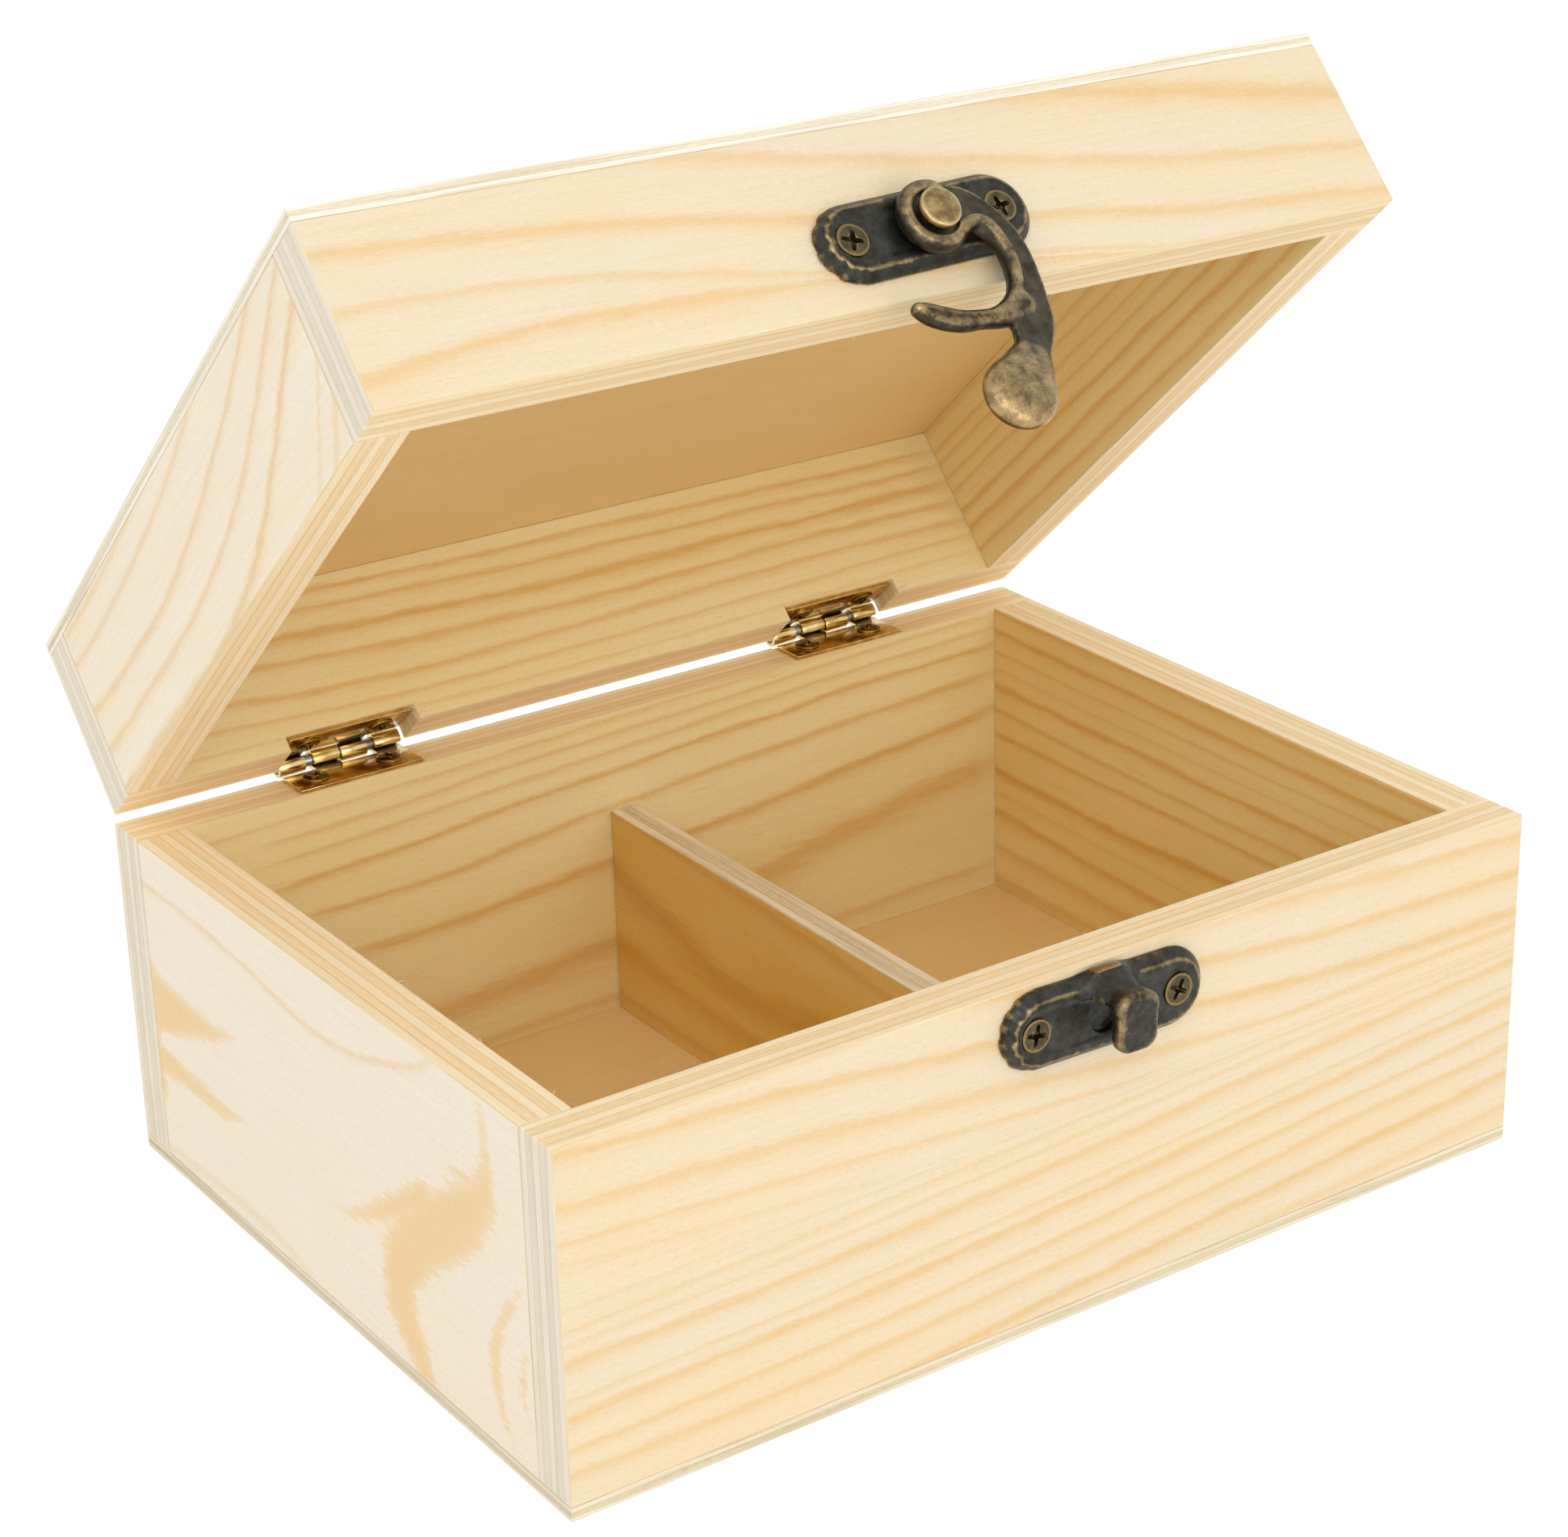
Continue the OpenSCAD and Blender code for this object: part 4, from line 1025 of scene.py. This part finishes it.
aged_screw = antique_bronze("antique_bronze_screw", colour("#473d2a"), colour("#665a3e"), colour("#86724a"), 0.92)
flat = template("flat_screw", flat_screw, (-2.6, -2.6, -4.1), (2.6, 2.6, 0.1), 0.11, aged_screw)
CATCH_X = 2.8
FRONT_Y = -60.0
CATCH_TILT = math.radians(-1.3)
low, high = shut_box("catch_plate")
CATCH_Z = (low[2] + high[2]) / 2
PIVOT_Z = (shut_box("latch_plate")[0][2] + shut_box("latch_plate")[1][2]) / 2
BOSS_OUT, SLOT_OUT = 8.65, 6.35


def slab(flat_distance, out, rounding):
    """A flat shape with thickness: the distance in its plane joined with the distance across it."""
    a, b = flat_distance + rounding, out + rounding
    return np.minimum(np.maximum(a, b), 0) + np.hypot(np.maximum(a, 0), np.maximum(b, 0)) - rounding


def catch_field(x, w, z):
    """Catch: the plate, and a hood that holds a rounded block over the slot. Both are cut round the pivot."""
    plate = plate_field(x, w, z)
    pocket = np.maximum(np.hypot(x + 0.3, (z + 0.1) * 0.9) - 2.5, 0.7 - w)
    plate = common(plate, -pocket, 0.5)
    across_block, up_block = np.abs(x + 0.15) - 1.15, np.abs(z - 0.95) - 1.9
    block = (np.hypot(np.maximum(across_block, 0), np.maximum(up_block, 0))
             + np.minimum(np.maximum(across_block, up_block), 0) - 2.15)
    boss = slab(block, np.abs(w - (SLOT_OUT + BOSS_OUT) / 2) - (BOSS_OUT - SLOT_OUT) / 2, 0.8)
    under = np.hypot(x, z - (PIVOT_Z - CATCH_Z)) - 13.4
    flare = 1.5 * np.clip((6.6 - w) / 4.6, 0, 1) ** 1.6
    hood = common(common(block - flare, under, 0.5), np.abs(w - 4.3) - 3.8, 0.8)
    return merge(plate, merge(hood, boss, 1.0), 1.3)


def plate_rub_and_highlight(x, w, z):
    """The rim round the face of a latch plate is rubbed; the front of the block gets gold that is partly rubbing
    and partly a painted highlight, fading towards its lower edge; the slot stays dark.
    """
    rim = np.exp(-((stadium(x, z) + 1.15) / 0.35) ** 2) * np.clip((w - 1.7) / 0.3, 0, 1) * (w < 2.5)
    slot = (np.hypot(x + 0.3, z + 0.1) < 3.6) & (w < 2.6)
    # last term: gold on the block front, partly rubbing and partly a painted highlight, weaker towards its lower
    # edge
    return (0.2 * rim * (np.abs(x) > 5) - 1.0 * slot
            + 0.12 * np.clip((w - 6.6) / 1.2, 0, 1) * np.clip((z + 3.5) / 3, 0.3, 1))


def casting(node, field, low, high, step, centre, tilt, material=bronze, suffix=".casting", rubbed=None):
    """A casting on the front of the box. low and high bound its field, which runs right, out and up.
    rubbed adds wear where hands and the other part touch it, and on the catch block a painted highlight as well."""
    points, faces, wear = skin(field, low, high, step)
    if rubbed:
        wear = wear + rubbed(*points.T)
    c, s = math.cos(tilt), math.sin(tilt)
    x, w, z = points.T
    placed = np.stack([centre[0] + x * c - z * s, FRONT_Y - w, centre[1] + x * s + z * c], 1)
    finish_piece(node + suffix, placed, faces[:, ::-1], BODY_OF[node], [node], [material],
                 attributes={"wear": wear}, smooth=True)


casting("catch_plate", catch_field, (-17, -0.1, -6.2), (17, 8.8, 6.2), 0.22, (CATCH_X, CATCH_Z), CATCH_TILT,
        rubbed=plate_rub_and_highlight)


def plate_screws(node, centre, tilt, seed):
    """Two flat screws on the slightly tilted line of a latch plate."""
    c, s = math.cos(tilt), math.sin(tilt)
    half = PLATE_SCREW_GAP / 2
    start = (centre[0] - half * c, FRONT_Y - PLATE_T + 0.08, centre[1] - half * s)
    screw_row(node, flat, 2, PLATE_SCREW_GAP, seed, start, ((c, 0, s), (-s, 0, c), (0, -1, 0)), aged_screw)


plate_screws("catch_plate_screws", (CATCH_X, CATCH_Z), CATCH_TILT, 3)

# ---------------------------------------------------------------------------
# Latch plate
# The plate on the lid, from the same mould as the catch without its hood. It
# carries the hook and is held by two flat screws, slightly out of level.

LATCH_TILT = math.radians(1.9)
casting("latch_plate", plate_field, (-17, -0.1, -6.2), (17, 2.4, 6.2), 0.22, (CATCH_X, PIVOT_Z), LATCH_TILT,
        rubbed=plate_rub_and_highlight)
plate_screws("latch_plate_screws", (CATCH_X, PIVOT_Z), LATCH_TILT, 12)
bpy.data.objects.remove(flat)

# ---------------------------------------------------------------------------
# Latch rivet
# A headed rivet through the eye of the hook, closed behind the plate. Its low
# head is rubbed bright.

rivet_bronze = antique_bronze("antique_bronze_rivet", colour("#75623f"), colour("#a08a5e"), colour("#cdb180"), 0.5)
low, high = shut_box("latch_rivet")
RIVET_OUT = FRONT_Y - low[1]
RIVET_HEAD_R = (high[0] - low[0]) / 2


def rivet_field(x, w, z):
    """Low uneven dome on a straight shank."""
    r = np.hypot(x, z)
    crown = RIVET_OUT - 0.035 * r**2 - 0.05 * np.sin(1.7 * x + 0.5) * np.sin(2.1 * z)
    head = common(common(r - RIVET_HEAD_R, w - crown, 0.35), RIVET_OUT - 1.3 - w, 0.25)
    shank = common(r - 1.5, np.abs(w - 3.0) - 2.9, 0.1)
    return merge(head, shank, 0.15)


casting("latch_rivet", rivet_field, (-3, 0, -3), (3, 6.6, 3), 0.13, (CATCH_X, PIVOT_Z), 0.0, rivet_bronze,
        ".head")

# ---------------------------------------------------------------------------
# Latch hook
# The swing hook: an eye with a raised bead, a flat curved arm, a finger that
# slides under the hood of the catch, and a smooth weighted end.

hook_bronze = antique_bronze("antique_bronze_hook", colour("#39342a"), colour("#575041"), colour("#b0966a"), 0.72)


def bent(path, steps=5):
    """The same line, drawn as a smooth curve through its points."""
    rows = np.array([path[0], *path, path[-1]], float)
    out = []
    for a, b, c, d in zip(rows, rows[1:], rows[2:], rows[3:]):
        for t in np.arange(steps) / steps:
            out.append(0.5 * (2 * b + (c - a) * t + (2 * a - 5 * b + 4 * c - d) * t**2
                              + (3 * b - a - 3 * c + d) * t**3))
    return [tuple(row) for row in (*out, rows[-1])]


ARM = bent((
    (1.5, 0.6, 3.6), (4.4, 0.4, 3.1), (6.7, -1.2, 2.6), (8.3, -3.3, 2.35), (9.1, -5.8, 2.3), (9.2, -8.6, 2.35),
    (8.8, -11.5, 2.5), (8.0, -14.0, 2.9), (7.3, -16.4, 3.1), (6.6, -18.4, 2.9), (5.3, -20.6, 2.3),
    (3.9, -22.4, 2.3)))
RIDGE = bent((
    (-3.9, 0.8, 1.0), (-3.75, -1.2, 1.05), (-2.9, -2.7, 1.1), (-1.4, -3.7, 1.15), (0.6, -3.9, 1.1),
    (2.4, -3.1, 1.0), (4.0, -2.2, 0.95), (5.9, -2.0, 0.95), (7.2, -3.3, 0.9), (7.8, -5.4, 0.9),
    (8.0, -7.6, 0.9), (7.7, -10.0, 0.95), (6.7, -12.3, 1.05), (4.9, -14.2, 1.2), (2.6, -15.3, 1.3)))
FINGER = bent((
    (6.4, -14.6, 2.0), (4.0, -15.4, 1.6), (2.0, -15.6, 1.35), (-0.5, -15.3, 1.3), (-3.0, -15.05, 1.45),
    (-5.4, -14.25, 1.55), (-7.4, -13.2, 1.45), (-8.7, -12.3, 0.95)))


def hook_field(x, w, z):
    """The hook in the plane of the lid's face, x right and z up from its pivot, w out of the face."""
    r = np.hypot(x, z)
    eye = slab(r - 5.1, np.abs(w - 3.2) - 0.7, 0.5)
    arm = slab(stroke(x, z, ARM), np.abs(w - 3.3) - 0.8, 0.55)
    ridge = np.hypot(np.maximum(stroke(x, z, [(a, b, 0.0) for a, b, _ in RIDGE]), 0), w - 3.8) - 1.1
    bead = np.hypot(r - 4.0, w - 3.75) - 1.12
    bead = common(bead, x * 0.8 - 2.4, 1.2)
    finger_path = stroke(x, z, FINGER)
    finger = slab(finger_path, np.abs(w - 3.7) - 1.2, 1.15)
    ball = (np.sqrt(((x + 0.7) / 5.2) ** 2 + ((w - 4.8) / 2.3) ** 2 + ((z + 26.6) / 5.0) ** 2) - 1) * 2.6
    neck = (np.sqrt(((x - 3.2) / 3.0) ** 2 + ((w - 4.0) / 1.5) ** 2 + ((z + 23.0) / 3.2) ** 2) - 1) * 1.8
    body = merge(merge(eye, arm, 0.6), merge(ridge, bead, 0.4), 0.3)
    body = merge(body, finger, 0.9)
    body = merge(body, merge(ball, neck, 2.0), 1.4)
    body = common(body, 2.5 - w, 0.35)
    body = common(body, -common(r - 3.3, 3.75 - w, 0.2), 0.3)
    return common(body, 1.55 - r, 0.15)


def hook_rub(x, w, z):
    """The ridge, the finger and the weighted end stand proud, so the tumbling has worn them most."""
    return 0.25 * np.clip((w - 4.3) / 0.6, 0, 1) + 0.1 * np.clip((-z - 17) / 4, 0, 1)


casting("latch_hook", hook_field, (-10, 2.3, -32.6), (13, 7.3, 6), 0.2, (CATCH_X, PIVOT_Z), 0.0, hook_bronze,
        rubbed=hook_rub)

# ---------------------------------------------------------------------------
# Torn fibres
# Single pine fibres that the saw and the cutter have lifted along the rims
# and at the ends of the hinge notches. They are part of the walls.

# torn pine: pale, matt and slightly uneven, lighter than the sanded wood round it
fibre_wood, fibre_nodes, fibre_shader = new_material("pine_fibre_torn")
fibre_place = add(fibre_nodes, "ShaderNodeTexCoord").outputs["Object"]
fibre_noise = add(fibre_nodes, "ShaderNodeTexNoise", {"Vector": fibre_place, "Scale": 900.0, "Detail": 2.0})
fibre_tone = add(fibre_nodes, "ShaderNodeValToRGB", {0: fibre_noise}, [
    (0.3, colour("#f3dfb8")), (0.7, colour("#fdf5e4"))])
fibre_nodes.links.new(fibre_tone.outputs[0], fibre_shader.inputs["Base Color"])
fibre_shader.inputs["Roughness"].default_value = 0.7


def fibre_tree():
    """Thin curved fibres scattered between two points, each with its own length and turn."""
    tree, sockets, given = started_tree("torn_fibres", (
        ("From", "Vector"), ("To", "Vector"), ("Count", "Int"), ("Length", "Float"), ("Thickness", "Float"),
        ("Spread", "Vector"), ("Lean", "Vector"), ("Seed", "Int"), ("Finish", "Material")))
    row = add(tree, "GeometryNodeMeshLine", {"Count": given["Count"], "Start Location": given["From"],
                                             "Offset": given["To"]}, mode="END_POINTS")
    jitter = add(tree, "FunctionNodeRandomValue", {0: (-1, -1, -1), 1: (1, 1, 1), "Seed": given["Seed"]},
                 data_type="FLOAT_VECTOR")
    jitter = add(tree, "ShaderNodeVectorMath", {0: jitter, 1: given["Spread"]}, operation="MULTIPLY")
    loose = add(tree, "GeometryNodeSetPosition", {"Geometry": row, "Offset": jitter})
    hair = add(tree, "GeometryNodeCurveQuadraticBezier", {"Resolution": 5, "Start": (0, 0, 0),
                                                          "Middle": (0.5, 0, 0.1), "End": (1, 0.12, 0)})
    thin = add(tree, "GeometryNodeCurvePrimitiveCircle", {"Resolution": 4, "Radius": given["Thickness"]})
    tube = add(tree, "GeometryNodeCurveToMesh", {"Curve": hair, "Profile Curve": thin.outputs["Curve"],
                                                 "Fill Caps": True})
    turn = add(tree, "FunctionNodeRandomValue", {0: (-1, -1, -1), 1: (1, 1, 1), "Seed": given["Seed"]},
               data_type="FLOAT_VECTOR")
    turn = add(tree, "ShaderNodeVectorMath", {0: turn, 1: (1.1, 0.16, 0.6)}, operation="MULTIPLY")
    turn = add(tree, "ShaderNodeVectorMath", {0: turn, 1: given["Lean"]}, operation="ADD")
    size = add(tree, "FunctionNodeRandomValue", {2: 0.35, 3: 1.0, "Seed": given["Seed"]})
    size = add(tree, "ShaderNodeMath", {0: size.outputs[1], 1: given["Length"]}, operation="MULTIPLY")
    copies = add(tree, "GeometryNodeInstanceOnPoints", {"Points": loose, "Instance": tube, "Rotation": turn,
                                                        "Scale": size})
    finished_tree(tree, copies, given["Finish"])
    return tree, sockets


fibres, fibre_sockets = fibre_tree()


def torn(name, body, tufts):
    """All the fibres of one body, from rows of start, end, count, length, spread, lean and seed."""
    points, faces = [], []
    for seed, (start, end, count, length, spread, lean) in enumerate(tufts):
        p, f, _ = grown(fibres, fibre_sockets, {
            "From": start, "To": end, "Count": count, "Length": length, "Thickness": 0.035, "Spread": spread,
            "Lean": lean, "Seed": 40 + seed, "Finish": fibre_wood})
        offset = sum(len(q) for q in points)
        points.append(p)
        faces += [[i + offset for i in face] for face in f]
    finish_piece(name, np.vstack(points), faces, body, [], [fibre_wood], smooth=True)


torn("base_torn_fibres", "base", [
    ((-72.6, -48, 51.8), (-72.6, 20, 51.8), 7, 1.8, (0.05, 6, 0.05), (0, 0, 1.0)),
    ((-20, -52.6, 51.8), (14, -52.6, 51.8), 8, 1.3, (3, 0.05, 0.05), (0, 0, 0.7)),
    ((-2.2, -52.0, 35.7), (2.2, -52.0, 35.7), 5, 1.6, (0.2, 0.3, 0.1), (0, -0.4, 0.2)),
    ((-1.0, 51.8, 35.7), (2.0, 51.8, 35.7), 4, 1.6, (0.2, 0.3, 0.1), (0, -0.4, -0.8)),
])
lid_tufts = []
for lo, hi in lid_hinge_boxes.values():
    end = float(hi[0]) + LEAF_SIDE
    lid_tufts.append(((end, 52.6, LID_RIM_Z + 0.3), (end, 52.9, LID_RIM_Z + NOTCH - 0.2), 30, 1.7,
                      (0.7, 0.3, 0.2), (0.2, 0.1, 0.1)))
torn("lid_torn_fibres", "lid", lid_tufts + [
    ((8, -59.95, LID_RIM_Z + 0.4), (16, -59.95, LID_RIM_Z + 0.4), 4, 2.0, (1.5, 0.0, 0.1), (0, 0, -0.5)),
    ((-60, -52.6, LID_RIM_Z + 0.25), (60, -52.6, LID_RIM_Z + 0.25), 12, 1.5, (4, 0.05, 0.05), (0, 0, 0.7)),
])

# ---------------------------------------------------------------------------
# Studio
# A plain white floor under a plain white surround, a large soft lamp from the
# upper left, and the camera at the photograph's angle.

# matt white paper: no gloss, and bright enough to fade into the surround
white, white_tree, white_shader = new_material("studio_white_paper")
paper_place = add(white_tree, "ShaderNodeTexCoord").outputs["Object"]
paper_noise = add(white_tree, "ShaderNodeTexNoise", {"Vector": paper_place, "Scale": 40.0})
paper_rough = add(white_tree, "ShaderNodeMapRange", {"Value": paper_noise, "To Min": 0.85, "To Max": 0.95})
white_tree.links.new(paper_rough.outputs[0], white_shader.inputs["Roughness"])
white_shader.inputs["Base Color"].default_value = (0.92, 0.92, 0.92, 1)
white_shader.inputs["Specular IOR Level"].default_value = 0.0
white_paths = add(white_tree, "ShaderNodeLightPath")
white_seen = add(white_tree, "ShaderNodeMath", {0: white_paths.outputs["Is Camera Ray"],
                                               1: white_paths.outputs["Is Glossy Ray"]}, operation="MAXIMUM")
white_glow = add(white_tree, "ShaderNodeMath", {0: white_seen, 1: 0.3}, operation="MULTIPLY")
white_shader.inputs["Emission Color"].default_value = (1, 1, 1, 1)
white_tree.links.new(white_glow.outputs[0], white_shader.inputs["Emission Strength"])
floor_mesh = bpy.data.meshes.new("studio_floor")
floor_mesh.from_pydata([(-6, -6, 0), (6, -6, 0), (6, 6, 0), (-6, 6, 0)], [], [(0, 1, 2, 3)])
floor_mesh.materials.append(white)
floor = bpy.data.objects.new("studio_floor", floor_mesh)
bpy.context.scene.collection.objects.link(floor)

world = bpy.data.worlds.new("studio_surround")
bpy.context.scene.world = world
world.use_nodes = True
sky = world.node_tree
sky_paths = add(sky, "ShaderNodeLightPath")
sky_seen = add(sky, "ShaderNodeMath", {0: sky_paths.outputs["Is Camera Ray"],
                                       1: sky_paths.outputs["Is Glossy Ray"]}, operation="MAXIMUM")
sky_seen = add(sky, "ShaderNodeMath", {0: sky_seen, 1: sky_paths.outputs["Is Transmission Ray"]},
               operation="MAXIMUM")
AMBIENT = 0.84
sky_level = add(sky, "ShaderNodeMapRange", {"Value": sky_seen, "To Min": AMBIENT, "To Max": 1.0})
sky.nodes["Background"].inputs["Color"].default_value = (1, 1, 1, 1)
sky.links.new(sky_level.outputs[0], sky.nodes["Background"].inputs["Strength"])


def lamp(name, place, aim, size, watts):
    """A square soft white lamp."""
    data = bpy.data.lights.new(name, "AREA")
    data.size, data.energy = size, watts
    made = bpy.data.objects.new(name, data)
    made.location = place
    direction = np.array(aim, float) - np.array(place, float)
    made.rotation_euler = Vector(direction).to_track_quat("-Z", "Y").to_euler()
    bpy.context.scene.collection.objects.link(made)


lamp("key_lamp", (-0.75, -1.0, 1.15), (0, 0, 0.06), 0.9, 4.9)
lamp("fill_lamp", (0.0, -1.5, 0.25), (0, 0, 0.07), 0.8, 4.5)

camera_data = bpy.data.cameras.new("camera")
camera_data.lens, camera_data.sensor_width = 81.2, 36.0
camera_data.sensor_fit = "HORIZONTAL"
camera_data.shift_x, camera_data.shift_y = -0.0656, -0.0064
camera_data.clip_start = 0.01
camera = bpy.data.objects.new("camera", camera_data)
right, forward = np.array([0.80794, -0.58911, -0.01332]), np.array([0.53921, 0.74824, -0.38650])
down = np.array([-0.23766, -0.30509, -0.92219])
camera.matrix_world = Matrix([[right[i], -down[i], -forward[i], (-0.26054, -0.37894, 0.25381)[i]] for i in range(3)]
                             + [[0, 0, 0, 1]])
bpy.context.scene.collection.objects.link(camera)
bpy.context.scene.camera = camera
bpy.context.scene.view_settings.view_transform = "Standard"
